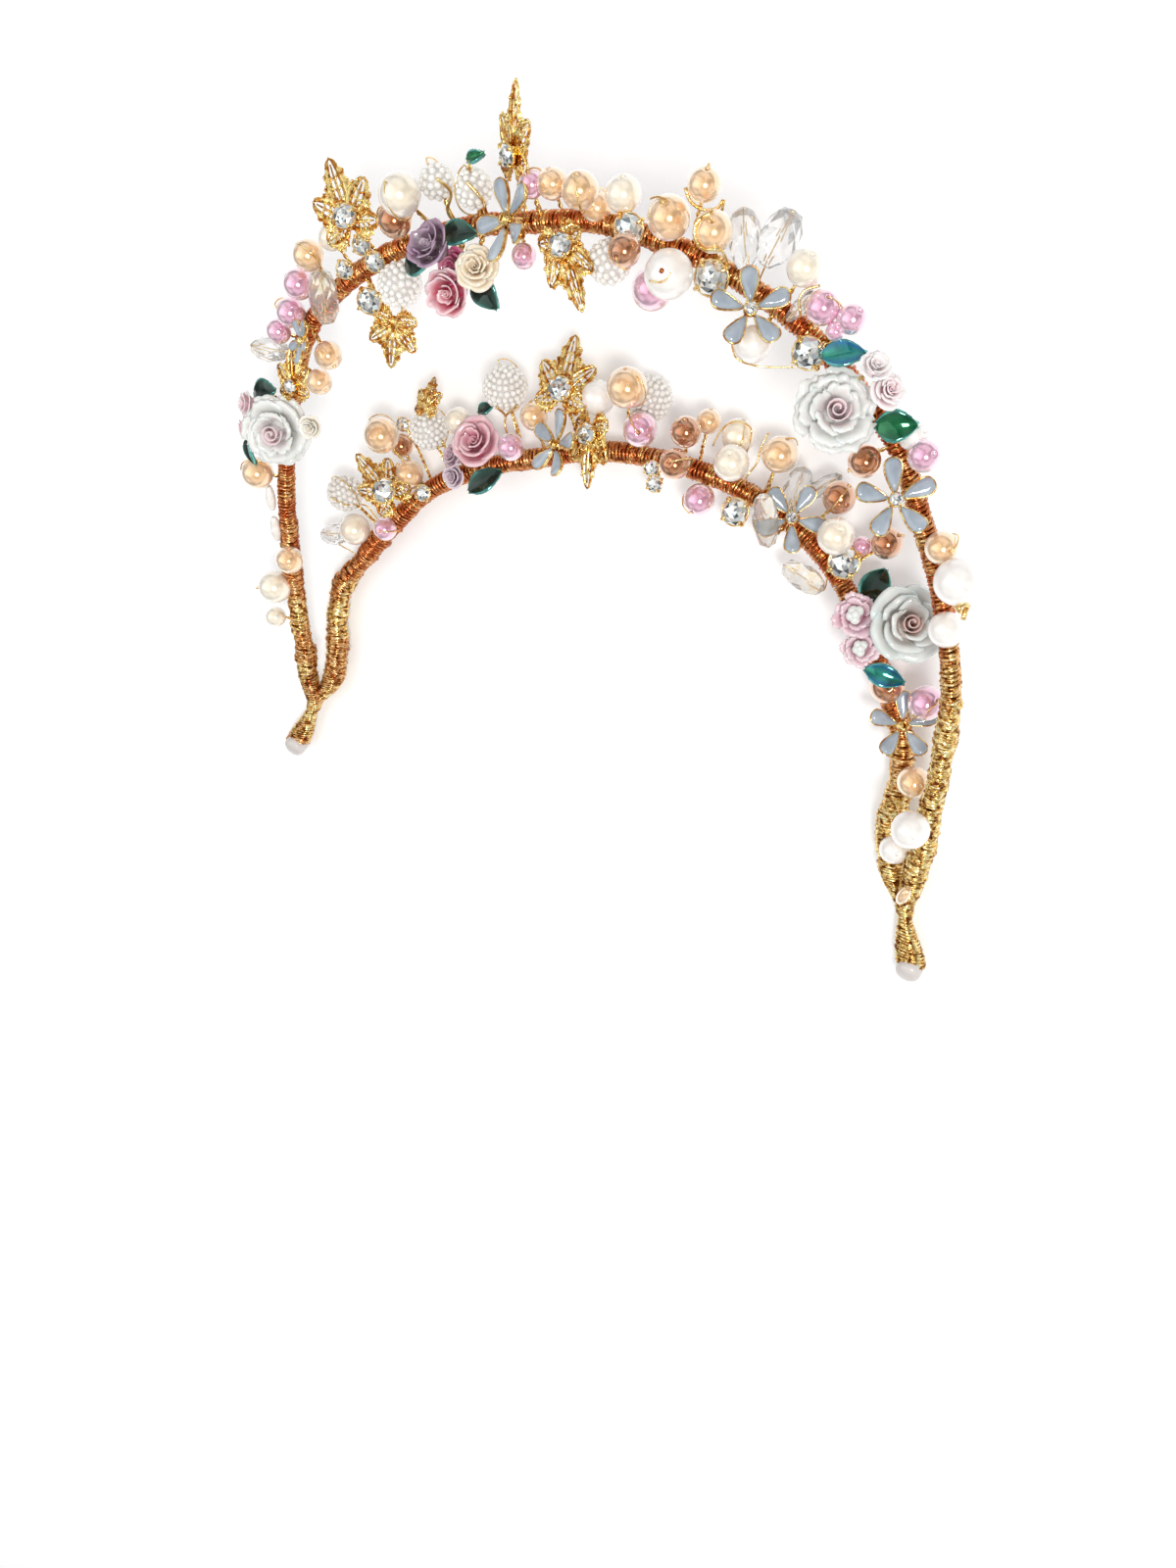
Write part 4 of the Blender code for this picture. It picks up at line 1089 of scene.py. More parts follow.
# pierced gold leaves
goldLeaves = [
    # arch, across, up, lift, length, width, facing, pointing, stone radius
    ("upper", -46.9, 122, 3, 16, 14, (0.2, 0.5, 0.8), (-0.44, 0.9, 0), 2.2),
    ("upper", -40, 97.4, 1, 11, 13, (0.1, 0.2, 0.95), (-0.1, -1, 0), 0),
    ("upper", -10.6, 136.7, 2, 15, 10, (-0.35, 0.03, 0.93), (0, 1, 0), 1.9),
    ("upper", 0, 117, 3, 14.5, 10, (0.2, 0.5, 0.8), (0.4, -0.9, 0), 2.0),
    ("upper", -64.5, 86.8, 3, 10.5, 10, (0.0, 0.2, 0.95), (-0.1, 1, 0), 1.4),
    ("lower", -61, 58.5, 3, 17, 13, (0.1, 0.3, 0.9), (-0.84, 0.54, 0), 2.7),
    ("lower", -49.6, 79, 3, 8.5, 7, (0.1, 0.3, 0.9), (0, 1, 0), 0),
    ("lower", -17.2, 89.5, 3, 16, 15.5, (0.1, 0.3, 0.9), (-0.05, 1, 0), 2.5),
    ("lower", -9, 75.5, 4, 15, 11, (-0.15, 0.05, 0.98), (0.1, -1, 0), 2.2),
]
filigree = {
    "lobes": [(90, 1.0), (42, 0.76), (138, 0.76), (-14, 0.55), (194, 0.55)],  # direction, reach
    "spread": (1.5, 1.3),  # width and height of all lobes together, as reaches of the longest
    "halfLobe": 0.2,
    "teeth": 5,
    "tooth": (0.0, 0.16, 0.34),
    "band": 0.6,        # share of a lobe's half width that is metal
    "thickness": 0.5,
    "midRib": ([0.05, 0.35, 0.65, 0.9], [0.42, 0.34, 0.26, 0.16]),  # shares of the reach, half widths
    "sideRibs": (0.3, 0.48, 0.64),
    "granules": {"Step": 0.62, "Wire": 0.16, "Granule": 0.26},
    "base": 0.35,       # the lobes meet this share of the leaf's height below its middle
    "cup": 0.22,
}
boss = [(0.9, -0.8), (1.2, -0.2), (0.9, 0.3), (0.4, 0.5)]  # button on a leaf without a stone


def lobeHalf(t):
    return filigree["halfLobe"] * math.sin(math.pi * (0.08 + 0.92 * t)) ** 0.75


def addLobe(shape, angle, reach, size):
    # toothed rim of metal round an opening, with a mid rib and side ribs; gives back the rim's edges
    turn = Matrix.Rotation(math.radians(angle), 3, 'Z')

    def spot(x, y, z):
        flat = turn @ Vector((x, y, 0))
        return Vector((flat.x * size[0], flat.y * size[1], z))

    edges = []
    count = filigree["teeth"] * 3
    for side in (-1, 1):
        rows = []
        for step in range(count + 1):
            half = side * lobeHalf(step / count)
            tooth = filigree["tooth"][step % 3] if step < count else 0.0
            x = reach * (0.1 + 0.9 * (step / count))
            row = [spot(x, half * (1 - filigree["band"]), 0),
                   spot(x + 0.01, half * (1 - 0.2 * filigree["band"]), 0.3),
                   spot(x + 0.05 * tooth, half * (1 + tooth), 0)]
            rows.append(row if side < 0 else list(reversed(row)))
        sheet(shape, rows, filigree["thickness"], [(1, 1, 1)] * (3 * len(rows)))
        edges.append([row[-1 if side < 0 else 0] for row in rows])
    shares, widths = filigree["midRib"]
    tube(shape, [spot(reach * share, 0, 0.1) for share in shares], widths, 5)
    for share in filigree["sideRibs"]:
        for side in (-1, 1):
            far = share + 0.12
            end = spot(reach * far, side * 0.7 * lobeHalf(far), 0.05)
            tube(shape, [spot(reach * share, 0, 0.05), end], 0.2, 5)
    return edges


def leafLace(number, wide, tall):
    # the five lobes in their own plane, granules on their rims, bent to a shallow cup
    lobes = Shape()
    edges = []
    for angle, reach in filigree["lobes"]:
        edges += addLobe(lobes, angle, reach, (wide, tall))
    lathe(lobes, [(0.5, -0.5), (0.15 * wide, -0.25), (0.15 * wide, 0.2), (0.5, 0.35)], 12, Matrix())
    grains = grow(trees["granule"], lines(edges), Seed=number, Material=finishes["gold"],
                  **filigree["granules"])
    lace = joined([lobes.mesh(), grains])
    down = filigree["base"] * tall
    for vert in lace.vertices:
        vert.co.y -= down
        spread = (vert.co.x / wide) ** 2 + ((vert.co.y + down) / tall) ** 2
        vert.co.z += -filigree["cup"] * tall * 0.3 * spread
    return lace


for number, (arch, across, up, lift, length, width, look, point, stoneRadius) in enumerate(goldLeaves):
    node = "gold_leaf_" + str(number + 1)
    wide, tall = width / filigree["spread"][0], length / filigree["spread"][1]
    place = seat(arch, across, up, lift, look, point)
    lace = leafLace(number, wide, tall)
    lace.transform(place)
    shape, stones = Shape(), Shape()
    shape.add([vert.co.copy() for vert in lace.vertices], [tuple(face.vertices) for face in lace.polygons])
    bpy.data.meshes.remove(lace)
    foot = Vector((0, -filigree["base"] * tall, 0))
    if stoneRadius:
        middleOfStone = place @ Vector((0, -0.3 * tall, 0.8 * stoneRadius))
        addStone(stones, shape, middleOfStone, stoneRadius, turned(arch, look))
    else:
        lathe(shape, boss, 10, facing(place @ foot, turned(arch, look), Vector((0.1, 1, 0))))
    shift = raised(node, shape, at(arch, across, up, lift))
    stones.move(shift)
    put(node + "_filigree", shape, "gold", [node])
    if stoneRadius:
        put(node + "_stone", stones, "stone", [node], smooth=False)
    stem(arch, place @ (foot - Vector((0, 0, 0.3))) + shift)
print("gold leaves made")


# porcelain roses
white, blushWhite = (0.80, 0.82, 0.80), (0.90, 0.84, 0.83)
pink, palePink = (0.80, 0.38, 0.48), (0.88, 0.64, 0.69)
rose = {"across": 13, "rows": 8, "thickness": 0.055, "budThickness": 0.035, "drop": 0.24}
roses = [
    # cluster, arch, heads: across, up, lift, radius, facing, kind, colour low in the petals, colour at their
    # rims, colour of the middle (None: as the petals)
    ("roses_left", "upper", [
        (-70.5, 73.5, 4, 7.4, (0.3, 0.2, 0.92), "ruffled", (0.76, 0.74, 0.72), white, palePink),
        (-61.8, 76, 3, 2.6, (0.3, 0.2, 0.9), "bud", (0.85, 0.78, 0.64), (0.92, 0.88, 0.80), None),
        (-77.8, 77.7, 3, 2.8, (-0.5, 0.3, 0.8), "bud", pink, blushWhite, None),
        (-79, 72.2, 3, 2.8, (-0.7, 0, 0.7), "bud", (0.75, 0.25, 0.34), palePink, None)]),
    ("roses_top", "upper", [
        (-26.9, 116.8, 4, 4.3, (-0.2, 0.6, 0.8), "tulip", (0.11, 0.03, 0.08), (0.40, 0.25, 0.40), None),
        (-23.5, 113.4, 2, 3.4, (0, 0.2, 1), "bud", (0.45, 0.03, 0.12), (0.62, 0.12, 0.26), None),
        (-23.5, 109.6, 4, 4.5, (0, 0.1, 1), "tulip", (0.55, 0.015, 0.08), (0.90, 0.66, 0.70), None),
        (-18.0, 114.4, 4, 3.9, (0.3, 0.5, 0.8), "open", (0.70, 0.42, 0.16), (0.92, 0.83, 0.66), None)]),
    ("roses_right", "upper", [
        (50, 102, 4, 6.8, (0.35, 0.55, 0.75), "ruffled", (0.74, 0.72, 0.70), white, palePink),
        (55, 109.7, 3, 2.7, (0.4, 0.8, 0.5), "bud", (0.92, 0.80, 0.82), (0.95, 0.92, 0.91), None),
        (57.6, 106.6, 3, 3.0, (0.6, 0.6, 0.6), "open", (0.86, 0.52, 0.58), (0.94, 0.88, 0.88), None)]),
    ("roses_lower_left", "lower", [
        (-35.6, 71.6, 4, 5.7, (0.1, 0.4, 0.9), "bud", (0.58, 0.10, 0.18), (0.86, 0.56, 0.62), None),
        (-40.9, 63.6, 3, 2.9, (0, 0, 1), "bud", (0.38, 0.22, 0.32), (0.74, 0.62, 0.70), None),
        (-41.6, 67.8, 3, 2.8, (-0.3, 0.3, 0.9), "bud", (0.36, 0.18, 0.28), (0.66, 0.50, 0.58), None)]),
    ("roses_lower_right", "lower", [
        (52.9, 56.7, 4, 4.3, (0.2, 0.3, 0.9), "pearled", (0.66, 0.30, 0.42), (0.84, 0.60, 0.68), white),
        (55.2, 51, 4, 3.8, (0.3, 0.1, 0.9), "pearled", (0.66, 0.32, 0.42), (0.84, 0.64, 0.70), white),
        (63.0, 57.8, 5, 7.4, (0.45, 0.35, 0.8), "folded", (0.60, 0.52, 0.47), (0.70, 0.78, 0.77),
         (0.66, 0.40, 0.36))]),
]
petalRings = {
    # petals, base radius, rim radius, base height, rim height, half span, outward curl
    "ruffled": [(6, 0.25, 1.0, -0.45, -0.08, 0.62, 0.04), (5, 0.24, 0.86, -0.38, 0.10, 0.76, 0.04),
                (5, 0.20, 0.58, -0.3, 0.28, 0.80, 0.05)],
    "open": [(5, 0.22, 1.0, -0.45, 0.12, 0.78, 0.10), (5, 0.18, 0.78, -0.3, 0.34, 0.80, 0.07),
             (4, 0.14, 0.55, -0.2, 0.50, 0.95, 0.04), (3, 0.10, 0.34, -0.1, 0.56, 1.15, 0.0)],
    "bud": [(4, 0.20, 0.98, -0.5, 0.25, 0.95, 0.06), (3, 0.16, 0.70, -0.3, 0.52, 1.15, 0.0),
            (3, 0.10, 0.42, -0.2, 0.62, 1.15, -0.04)],
    "folded": [(4, 0.25, 1.0, -0.45, 0.02, 0.95, 0.10), (3, 0.22, 0.76, -0.38, 0.22, 1.1, 0.05),
               (3, 0.16, 0.50, -0.25, 0.38, 1.15, 0.02)],
    "pearled": [(7, 0.25, 1.0, -0.45, 0.10, 0.5, 0.06), (6, 0.22, 0.72, -0.35, 0.26, 0.6, 0.04)],
    "tulip": [(3, 0.22, 1.0, -0.55, 0.30, 1.2, 0.02), (3, 0.20, 0.72, -0.4, 0.50, 1.25, -0.05),
              (2, 0.05, 0.34, -0.2, 0.30, 1.5, -0.1)],
}
frill = {
    # depth and rate of the ruffles, saw teeth on the rim, size of the rolled bud (0: drops of glaze instead),
    # and a power that keeps the rim colour nearer the rim
    "ruffled": (0.12, 5.0, 0.012, 1.25, 1.0), "open": (0.08, 3.0, 0.0, 1.0, 1.0),
    "folded": (0.10, 2.2, 0.0, 1.1, 1.0), "pearled": (0.10, 6.0, 0.02, 0.0, 1.0),
    "bud": (0.06, 3.0, 0.0, 1.0, 1.4), "tulip": (0.16, 2.0, 0.0, 0.8, 3.5),
}


def blend(first, second, share):
    return tuple(a + (b - a) * share for a, b in zip(first, second))


def addPetal(shape, place, radius, kind, layer, turn, size, colours, seed):
    deep, rate, saw, _, late = frill[kind]
    _, baseReach, rimReach, low, high, span, curl = petalRings[kind][layer]

    def spot(column, share, v):
        u = 2 * share - 1
        depth = v * (1 - 0.26 * abs(u) ** 2.5)
        spread = span * (0.4 + 0.6 * math.sin(math.pi / 2 * min(1, 1.3 * v)))
        across, up = math.cos(turn + spread * u), math.sin(turn + spread * u)
        ruffle = noise.noise(Vector((rate * across + seed, rate * up, layer * 2.7 + v)))
        reach = baseReach + (rimReach * size - baseReach) * depth ** 0.75 + 0.07 * u * v
        reach += deep * ruffle * v ** 2 + saw * v ** 6 * (-1) ** column
        height = low + (high - low) * math.sin(math.pi / 2 * depth) - curl * max(0, v - 0.6) ** 2 * 6
        height += deep * 1.6 * ruffle * v ** 3
        tone = blend(*colours, min(1, max(0, v ** late * 1.1 - (1 - rimReach) * 0.4)))
        return place @ (Vector((reach * across, reach * up, height)) * radius), tone

    grid(shape, rose["rows"], rose["across"], rose["thickness"] * radius, spot)


def addBud(shape, place, radius, size, low, high):
    # rolled bud in the middle
    def spot(column, u, v):
        angle = 4.2 * math.pi * u
        reach = (0.05 + 0.2 * u) * (0.8 + 0.25 * v) * size
        point = Vector((reach * math.cos(angle), reach * math.sin(angle), -0.1 + (0.62 - 0.12 * u) * v))
        return place @ (point * radius), blend(low, high, v)

    grid(shape, 5, 27, rose["budThickness"] * radius, spot)


def addRose(shape, centre, radius, look, kind, heart, rimColour, bud, seed):
    place = facing(centre, look, Vector((0.2, 1, 0.1)))
    draw = random.Random(seed)
    budSize = frill[kind][3]
    for layer, ring in enumerate(petalRings[kind]):
        start = draw.uniform(0, 6.28)
        for petal in range(ring[0]):
            turn = start + 2 * math.pi * petal / ring[0] + draw.uniform(-0.12, 0.12)
            size = draw.uniform(0.93, 1.06)
            addPetal(shape, place, radius, kind, layer, turn, size, (heart, rimColour), seed)
    if budSize:
        low, high = (bud, blend(bud, heart, 0.3)) if bud else (heart, blend(heart, rimColour, 0.5))
        addBud(shape, place, radius, budSize, low, high)
    else:
        # a few round drops of glaze in the middle
        for drop in range(5):
            angle = 1.26 * drop
            spot = Vector((0.2 * math.cos(angle), 0.2 * math.sin(angle), 0.26))
            if drop == 0:
                spot = Vector((0, 0, 0.36))
            ball = ballProfile(rose["drop"] * radius, 8)
            lathe(shape, ball, 12, place @ Matrix.Translation(spot * radius), glaze=[bud] * 8)
    # closed cup under the petals
    cup = [(0.15, -0.62), (0.42, -0.55), (0.5, -0.35), (0.3, -0.15), (0.12, 0.0)]
    lathe(shape, resized(cup, radius, radius), 14, place, glaze=[heart] * len(cup))


for number, (node, arch, heads) in enumerate(roses):
    shape = Shape()
    feet = []
    for index, (across, up, lift, radius, look, *looks) in enumerate(heads):
        centre = at(arch, across, up, lift)
        out = turned(arch, look)
        feet.append(centre - out * (0.5 * radius))
        addRose(shape, centre, radius, out, *looks, 10 * number + index)
    centres = [at(arch, *head[:3]) for head in heads]
    shift = raised(node, shape, sum(centres, Vector()) / len(centres))
    put(node + "_petals", shape, "glaze", [node])
    for foot in feet:
        stem(arch, foot + shift)
print("roses made")


# lacquered leaves
greenLeaves = [
    # arch, across, up, lift, length, width, facing, pointing, colour
    ("upper", -73.4, 81.6, 3, 6.8, 4.8, (-0.2, 0.5, 0.8), (1, 0.2, 0), "deep"),
    ("upper", -80.2, 66.5, 3, 6, 3.6, (-0.4, 0, 0.9), (0.3, -1, 0), "deep"),
    ("upper", -21.5, 120, 4, 7, 4.6, (0, 0.6, 0.8), (1, 0.2, 0), "deep"),
    ("upper", -31.4, 113.3, 4, 6.5, 4.4, (-0.3, 0.3, 0.9), (-1, -0.3, 0), "deep"),
    ("upper", -15.2, 111.3, 6, 7, 5, (0, 0.2, 1), (0.7, -0.7, 0), "deep"),
    ("upper", 50, 111.5, 4, 7, 4.2, (0.1, 0.6, 0.8), (1, 0.3, 0), "teal"),
    ("upper", 59.8, 101.2, 3, 6.6, 5.2, (0.2, 0.3, 0.9), (1, 0.2, 0), "emerald"),
    ("lower", -33.4, 64.3, 3, 8.5, 5, (0.1, 0.3, 0.9), (0.6, 0.6, 0), "deep"),
    ("lower", 55.3, 63.3, 4, 8, 6, (0.3, 0.5, 0.8), (0.3, 0.9, 0), "deep"),
    ("lower", 61.6, 47.3, 6, 8, 4.4, (0.3, 0.2, 0.9), (1, -0.1, 0), "teal"),
]
leafColours = {
    # middle, edge
    "deep": ((0.001, 0.010, 0.006), (0.001, 0.10, 0.06)),
    "teal": ((0.02, 0.32, 0.20), (0.0, 0.05, 0.52)),
    "emerald": ((0.0, 0.20, 0.06), (0.0, 0.06, 0.04)),
    "rim": (0.12, 0.50, 0.46),
}
greenLeaf = {"rows": 15, "across": 9, "thickness": 0.8, "veins": 7}
smallLeaves = [
    # as greenLeaves, without a node of their own
    ("upper", -17.9, 132.4, 3, 3.6, 1.8, (0, 0.3, 0.9), (1, 0.5, 0), "emerald"),
    ("lower", -36.0, 79.0, 2, 3.8, 2.6, (0, 0.3, 0.9), (1, 0.9, 0), "deep"),
]


def blade(place, length, width, shade):
    inner, edge = leafColours[shade]
    veins = greenLeaf["veins"]

    def spot(column, share, t):
        u = 2 * share - 1
        half = 0.5 * width * (0.06 + 0.94 * math.sin(math.pi * t ** 0.85) ** 0.8)
        vein = 0.07 * math.cos(math.pi * (veins * t - 2.2 * abs(u)) * 2) * abs(u)
        saw = 1 + 0.05 * abs(u) ** 6 * math.sin(2 * math.pi * veins * t)
        height = 0.5 * abs(u) ** 1.3 * half / (0.5 * width) + vein - 0.6 * (2 * t - 1) ** 2
        tone = blend(inner, edge, abs(u) ** 2 * 0.8 + 0.2 * t) if abs(u) < 1 else leafColours["rim"]
        return place @ Vector((u * half * saw, (t - 0.5) * length, height)), tone

    leaf = Shape()
    grid(leaf, greenLeaf["rows"], greenLeaf["across"], greenLeaf["thickness"], spot)
    return leaf


for number, leafRow in enumerate(greenLeaves + smallLeaves):
    arch, across, up, lift, length, width, look, point, shade = leafRow
    place = seat(arch, across, up, lift, look, point)
    leaf = blade(place, length, width, shade)
    shift = Vector()
    if number < len(greenLeaves):
        node = "green_leaf_" + str(number + 1)
        shift = raised(node, leaf, at(arch, across, up, lift))
        put(node + "_blade", leaf, "lacquer", [node])
    else:
        put(arch + "_band_small_leaf", leaf, "lacquer", [arch + "_band"])
    stem(arch, place @ Vector((0, -0.4 * length, -0.6)) + shift)
print("green leaves made")


# enamel flowers
enamelFlowers = [
    # arch, across, up, lift, radius, facing, first petal in degrees, stone centre
    ("upper", -59, 94.9, 5, 4.4, (-0.5, 0.3, 0.8), 20, False),
    ("upper", -10.5, 123.7, 5, 7.0, (-0.43, 0.42, 0.8), 30, False),
    ("upper", 34.3, 116, 5, 6.5, (0.38, 0.62, 0.68), -2, True),
    ("upper", 62, 89.7, 5, 6.7, (0.38, 0.62, 0.68), -5, True),
    ("lower", -16.2, 75.5, 5, 7.0, (-0.43, 0.15, 0.89), 0, False),
    ("lower", 36.6, 72, 5, 6.8, (0.3, 0.35, 0.88), 24, True),
    ("lower", 67.0, 38.5, 5, 6.7, (0.38, 0.37, 0.85), -9, False),
]
petalCut = {
    "start": 0.15, "half": 0.34, "points": 13,
    "rim": 0.14,        # radius of the gold rim
    "floor": -0.3,
    "bend": 0.18,       # how far a petal's tip bends up
    "middle": 0.62,     # middle of a petal's dome
    # the dome of enamel: share of the way in, height
    "dome": [(0.0, 0.22), (0.04, 0.34), (0.12, 0.52), (0.28, 0.74), (0.5, 0.9), (0.75, 0.98)],
    "boss": [(0.9, -0.9), (1.1, -0.5), (1.1, 0.1), (0.7, 0.35)],
}
lowered = {"enamel_flower_6": 1.4}  # sits this much farther from the viewer, behind the front crystal


def petalHalf(t):
    return petalCut["half"] * (0.04 + 0.96 * t ** 0.85) * math.sqrt(max(0.0, 1 - t ** 4.5))


def petalOutline(radius):
    last = petalCut["points"] - 1
    outline = []
    for side, steps in ((-1, range(last + 1)), (1, range(last - 1, 0, -1))):
        for step in steps:
            t = math.sin(math.pi / 2 * step / last)
            x = (petalCut["start"] + (1 - petalCut["start"]) * t) * radius
            outline.append(Vector((x, side * petalHalf(t) * radius, 0)))
    return outline


def addEnamelPetal(metal, glass, turn, radius):
    # gold floor and rim with a dome of enamel
    outline = petalOutline(radius)
    domeMiddle = petalCut["middle"] * radius

    def ring(height, share=None):
        # the outline at one height, drawn in towards the dome's middle line by a share
        made = []
        for point in outline:
            if share is not None:
                point = point.lerp(Vector((domeMiddle + (point.x - domeMiddle) * 0.5, 0, 0)), share)
            bend = petalCut["bend"] * radius * (point.x / radius) ** 2
            made.append(turn @ Vector((point.x, point.y, height + bend - 0.25)))
        return made

    rim = ring(0.3)
    tube(metal, rim + rim[:2], petalCut["rim"], 6, sideways=(turn.to_3x3() @ Vector((0, 0, 1))))
    rings(metal, [ring(petalCut["floor"]), ring(0.25)])
    rings(glass, [ring(0.0, 0.02)] + [ring(height, share + 0.02) for share, height in petalCut["dome"]])


def addKnot(metal, place, radius):
    # three loops of wire in the middle of a flower without a stone
    for layer in range(3):
        knot = []
        for step in range(14):
            angle = 2 * math.pi * step / 12 + layer
            across, up = math.cos(angle) * (0.15 - 0.03 * layer), math.sin(angle) * 0.11
            spot = Vector((across, up, 0.04 * layer + 0.05)) * radius
            knot.append(place @ (spot + Vector((0, 0, 0.2))))
        tube(metal, knot, 0.26, 6)


for number, (arch, across, up, lift, radius, look, first, stoneCentre) in enumerate(enamelFlowers):
    node = "enamel_flower_" + str(number + 1)
    centre = at(arch, across, up, lift)
    place = seat(arch, across, up, lift, look, (0, 1, 0))
    metal, glass, stones = Shape(), Shape(), Shape()
    for petal in range(5):
        turn = place @ Matrix.Rotation(math.radians(90 - first + 72 * petal), 4, 'Z')
        addEnamelPetal(metal, glass, turn, radius)
    if stoneCentre:
        stoneMiddle = place @ Vector((0, 0, 0.35)) + turned(arch, look) * 0.5
        addStone(stones, metal, stoneMiddle, 0.17 * radius, turned(arch, look))
    else:
        addKnot(metal, place, radius)
    lathe(metal, petalCut["boss"], 12, place)
    shift = raised(node, metal, centre)
    lower = toViewer(centre) * -lowered.get(node, 0.0)
    metal.move(lower)
    for shape in (glass, stones):
        shape.move(shift + lower)
    put(node + "_metal", metal, "gold", [node])
    put(node + "_enamel", glass, "enamel", [node])
    if stoneCentre:
        put(node + "_stone", stones, "stone", [node], smooth=False)
    stem(arch, place @ Vector((0, 0, -0.8)) + shift + lower)
print("enamel flowers made")


# wires that show in front of their beads
shownWires = {
    # bead (its node or its place on the arch), wire radius, does the end run into the band;
    # points as the viewer sees them: degrees round the bead, distance from its middle in bead radii
    "upper": [
        ("pearl_upper_02_peach", 0.17, True,
         [(140, 1.15), (130, 1.05), (120, 0.95), (100, 0.7), (110, 0.55), (125, 0.7)]),
        ((24.4, 132.9), 0.26, True, [(190, 1.1), (230, 1.15), (270, 1.3), (305, 1.45), (325, 1.45)]),
        ("pearl_upper_03_peach", 0.3, True, [(95, 0.9), (155, 0.9), (200, 0.9), (245, 0.9), (300, 0.95)]),
        ("pearl_upper_04_white", 0.15, False, [(45, 0.1), (250, 0.2), (220, 0.5), (200, 0.8)]),
        ("pearl_upper_05_white", 0.15, True,
         [(130, 1.55), (165, 1.15), (205, 1.05), (235, 1.05), (295, 1.2), (330, 2.05), (340, 2.65)]),
        ((45.5, 117.6), 0.22, True, [(105, 1.15), (145, 1.35), (170, 1.35), (200, 1.25)]),
        ("pearl_upper_07_white", 0.45, True, [(290, 1.6), (295, 1.3), (305, 1.05), (285, 1.0), (285, 1.2)]),
        ((-26.4, 127.2), 0.3, True, [(85, 0.15), (325, 0.9), (290, 1.55)]),
        ((-18.9, 127), 0.3, True, [(140, 0.45), (310, 0.65), (300, 1.2)])],
    "lower": [
        ((21.7, 84.5), 0.17, True, [(205, 1.55), (165, 1.05), (115, 0.85), (65, 0.75), (5, 0.7)]),
        ("pearl_lower_09_peach", 0.2, True, [(125, 1.3), (165, 1.1), (205, 1.3), (220, 2.2)]),
        ((-69.5, 53.8), 0.2, True, [(195, 0.75), (260, 0.6), (325, 1.15), (320, 1.85)]),
        ((-31, 84.2), 0.26, True, [(245, 0.9), (270, 1.15), (270, 1.65)]),
        ((-31, 84.2), 0.26, False, [(305, 0.9), (270, 1.15)])],
}
# the thin wires lie this far over their beads
overBeads = 0.25


def overBead(bead, turn, share):
    # a point on the bead's front, or level with its middle where it lies beside the bead
    centre, radius = beads[bead]
    angle = math.radians(turn)
    height = math.sqrt(max(0.0, (radius + overBeads) ** 2 - (share * radius) ** 2))
    place = facing(centre, toViewer(centre), Vector((0, 1, 0.26)))
    return place @ Vector((share * radius * math.cos(angle), share * radius * math.sin(angle), height))


# stems and the thin wires that hold the beads
stemWire = {"Step": 0.3, "Strand": 0.2, "Twist": 2.6}
caughtRadius = 0.15
wrap = {"reach": 1.5, "wire": (0.62, 0.27, 0.8), "seed": 20.0, "apart": 2.4}
for arch in ("upper", "lower"):
    # wire wound round the band at the feet of the stems
    kept, knots = [], []
    for number, foot in enumerate(sorted((route[0] for route in stems[arch]), key=lambda foot: foot.x)):
        if all((foot - other).length > wrap["apart"] for other in kept):
            kept.append(foot)
            piece = part(cores[arch], lambda point: (point - foot).length < wrap["reach"])
            knots.append(wind(piece, *wrap["wire"], wrap["seed"] + number, number % 2 == 0))
    put(arch + "_band_wraps", joined(knots), "gold", [arch + "_band"])
for arch in ("upper", "lower"):
    node = arch + "_band"
    twisted = grow(trees["twist"], lines(stems[arch]), Material=finishes["gold"], **stemWire)
    put(node + "_stems", twisted, "gold", [node])
    thin = Shape()
    for route in caughtWires[arch]:
        tube(thin, smoothLine(route, 26), caughtRadius, 5)
    for bead, radius, anchored, route in shownWires[arch]:
        spots = [overBead(bead, turn, share) for turn, share in route]
        spots += [nearestOnBand(arch, spots[-1])] if anchored else []
        tube(thin, smoothLine(spots, 30), radius, 6)
    put(node + "_wires", thin, "brightGold", [node])
print("stems made")


# floor, light and camera
stage = {
    "floorHalf": 1.5, "under": -0.0002, "floorColour": (0.86, 0.87, 0.89, 1),
    "floorPatch": (0.9, 0.9, 0.9, 1), "glow": 0.22, "dark": 0.12, "bright": 0.85, "sky": (1.0, 0.99, 0.98, 1),
}
half = stage["floorHalf"]
floorMesh = bpy.data.meshes.new("floor")
floorMesh.from_pydata([(x * half, y * half, stage["under"]) for x, y in ((-1, -1), (1, -1), (1, 1), (-1, 1))],
                      [], [(0, 1, 2, 3)])
floor = bpy.data.objects.new("floor", floorMesh)
bpy.context.scene.collection.objects.link(floor)


def floorLook(graph):
    return {"Base Color": graph.mix(graph.noise(8, 2), stage["floorColour"], stage["floorPatch"])}


floorMesh.materials.append(finish("floor", floorLook, **{
    "Roughness": 0.7, "Emission Color": (1, 1, 1, 1), "Emission Strength": stage["glow"]}))

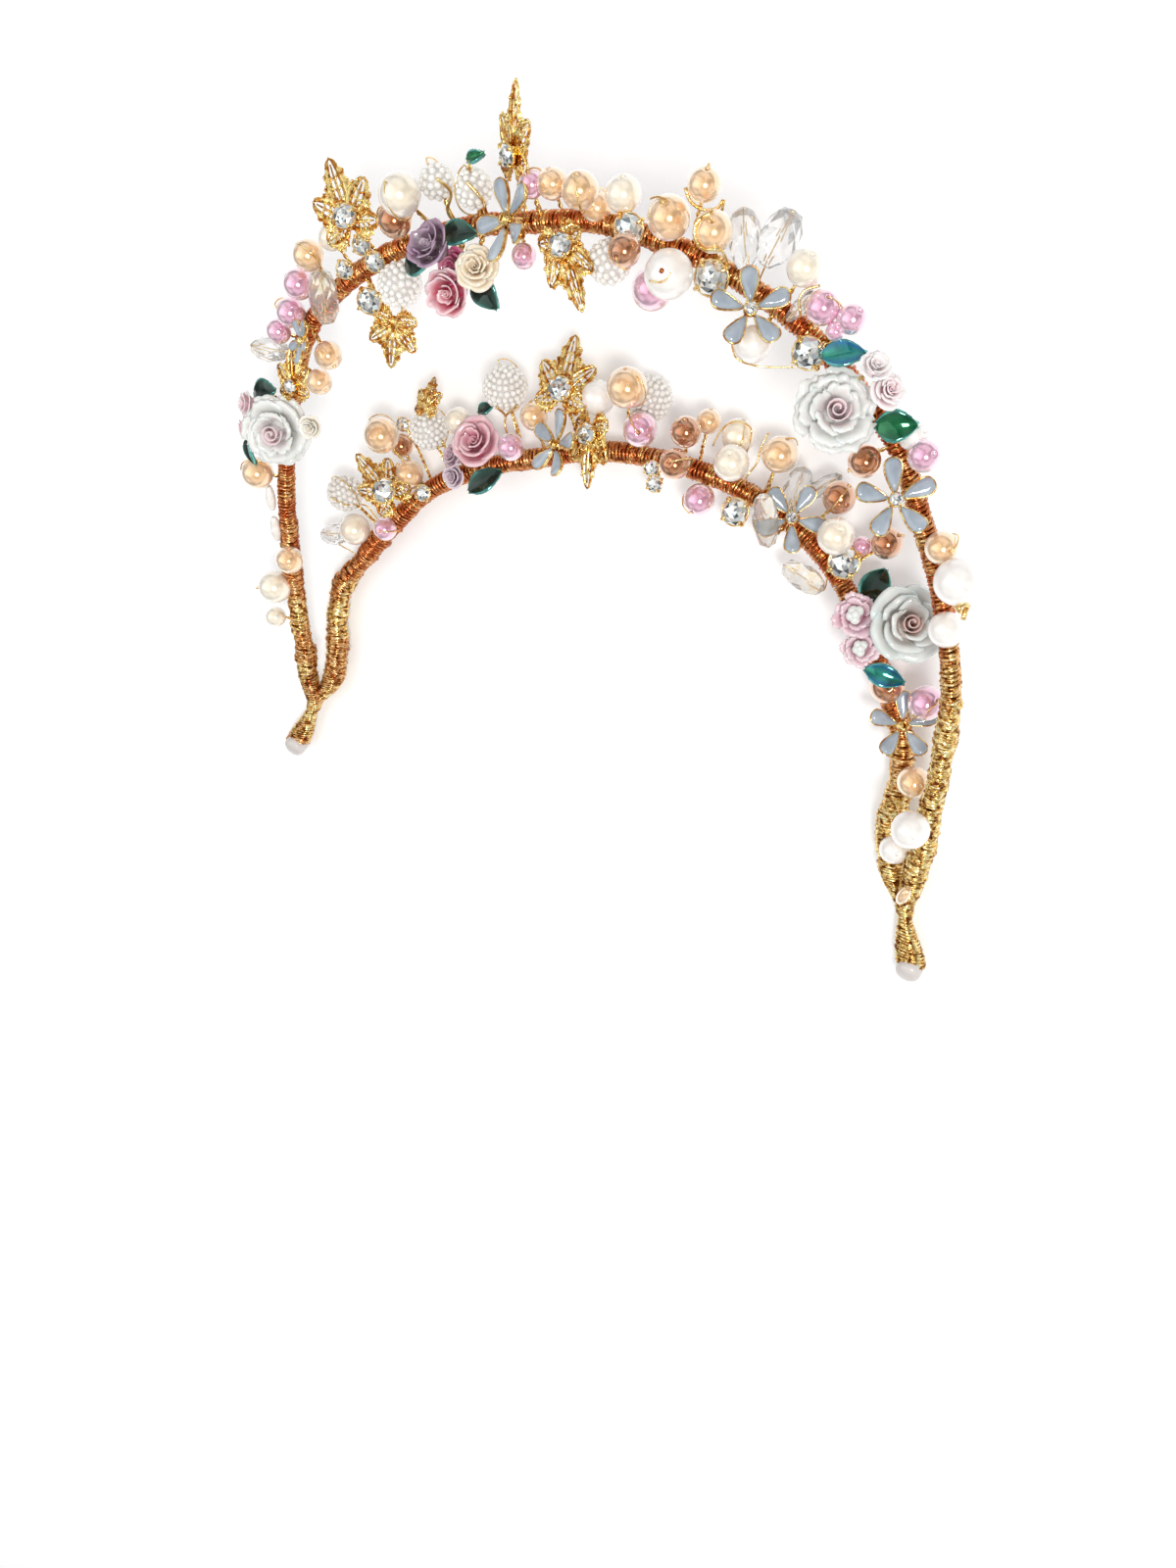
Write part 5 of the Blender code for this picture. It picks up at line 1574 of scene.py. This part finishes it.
world = bpy.data.worlds.new("studio")
bpy.context.scene.world = world
world.use_nodes = True
sky = Graph(world.node_tree)
heading = sky.node('ShaderNodeTexCoord', out="Generated")
height = sky.node('ShaderNodeSeparateXYZ', values={0: heading}, out=2)
patches = sky.node('ShaderNodeTexNoise', values={"Vector": heading, "Scale": 1.7, "Detail": 0.0})
brightness = sky.range(patches + height * 0.25, 0.46, 0.76, stage["dark"], stage["bright"])
background = world.node_tree.nodes["Background"]
background.inputs["Color"].default_value = stage["sky"]
world.node_tree.links.new(brightness.socket, background.inputs["Strength"])
lamps = [
    # name, place in metres, size, power, colour
    ("key", (0.42, -0.05, 0.72), 0.18, 3.4, (1.0, 0.98, 0.95)),
    ("top", (-0.4, 0.1, 0.95), 1.2, 3.2, (1.0, 1.0, 1.0)),
]
for name, place, size, power, colour in lamps:
    light = bpy.data.lights.new(name, 'AREA')
    light.size = size
    light.energy = power
    light.color = colour
    lamp = bpy.data.objects.new(name, light)
    lamp.location = place
    lamp.rotation_euler = (Vector((0, 0, 0.02)) - Vector(place)).to_track_quat('-Z', 'Y').to_euler()
    bpy.context.scene.collection.objects.link(lamp)
bpy.context.scene.view_settings.view_transform = 'Standard'

# the photo's camera, given for the headband as it is worn and turned with it onto its back
shot = {
    "around": math.radians(27.7), "above": math.radians(35.2), "roll": math.radians(-2.1),
    "distance": 295.2, "focal": 1331.0, "picture": (1200, 1600), "origin": (592.7, 811.7),
    "layBack": math.radians(14.75), "sensor": 36.0,
}
around, above, roll = shot["around"], shot["above"], shot["roll"]
back = Vector((math.sin(around) * math.cos(above), -math.cos(around) * math.cos(above), math.sin(above)))
level = Vector((math.cos(around), math.sin(around), 0))
upright = back.cross(level)
right = math.cos(roll) * level - math.sin(roll) * upright
up = math.sin(roll) * level + math.cos(roll) * upright
scale = shot["distance"] / shot["focal"]
acrossShift = (shot["origin"][0] - shot["picture"][0] / 2) * scale
upShift = -(shot["origin"][1] - shot["picture"][1] / 2) * scale
eye = shot["distance"] * back - acrossShift * right - upShift * up
wornToLying = Matrix.Rotation(shot["layBack"], 3, 'X') @ Matrix(((1, 0, 0), (0, 0, 1), (0, -1, 0)))
turnWorld = turnDown.to_3x3() @ wornToLying
axes = Matrix([turnWorld @ axis for axis in (right, up, back)]).transposed()
camera = bpy.data.objects.new("camera", bpy.data.cameras.new("camera"))
camera.data.sensor_fit = 'HORIZONTAL'
camera.data.sensor_width = shot["sensor"]
camera.data.lens = shot["focal"] / shot["picture"][0] * shot["sensor"]
camera.data.clip_start = 0.01
camera.matrix_world = Matrix.Translation(toWorld @ (wornToLying @ eye)) @ axes.to_4x4()
bpy.context.scene.collection.objects.link(camera)
bpy.context.scene.camera = camera
print("stage set")
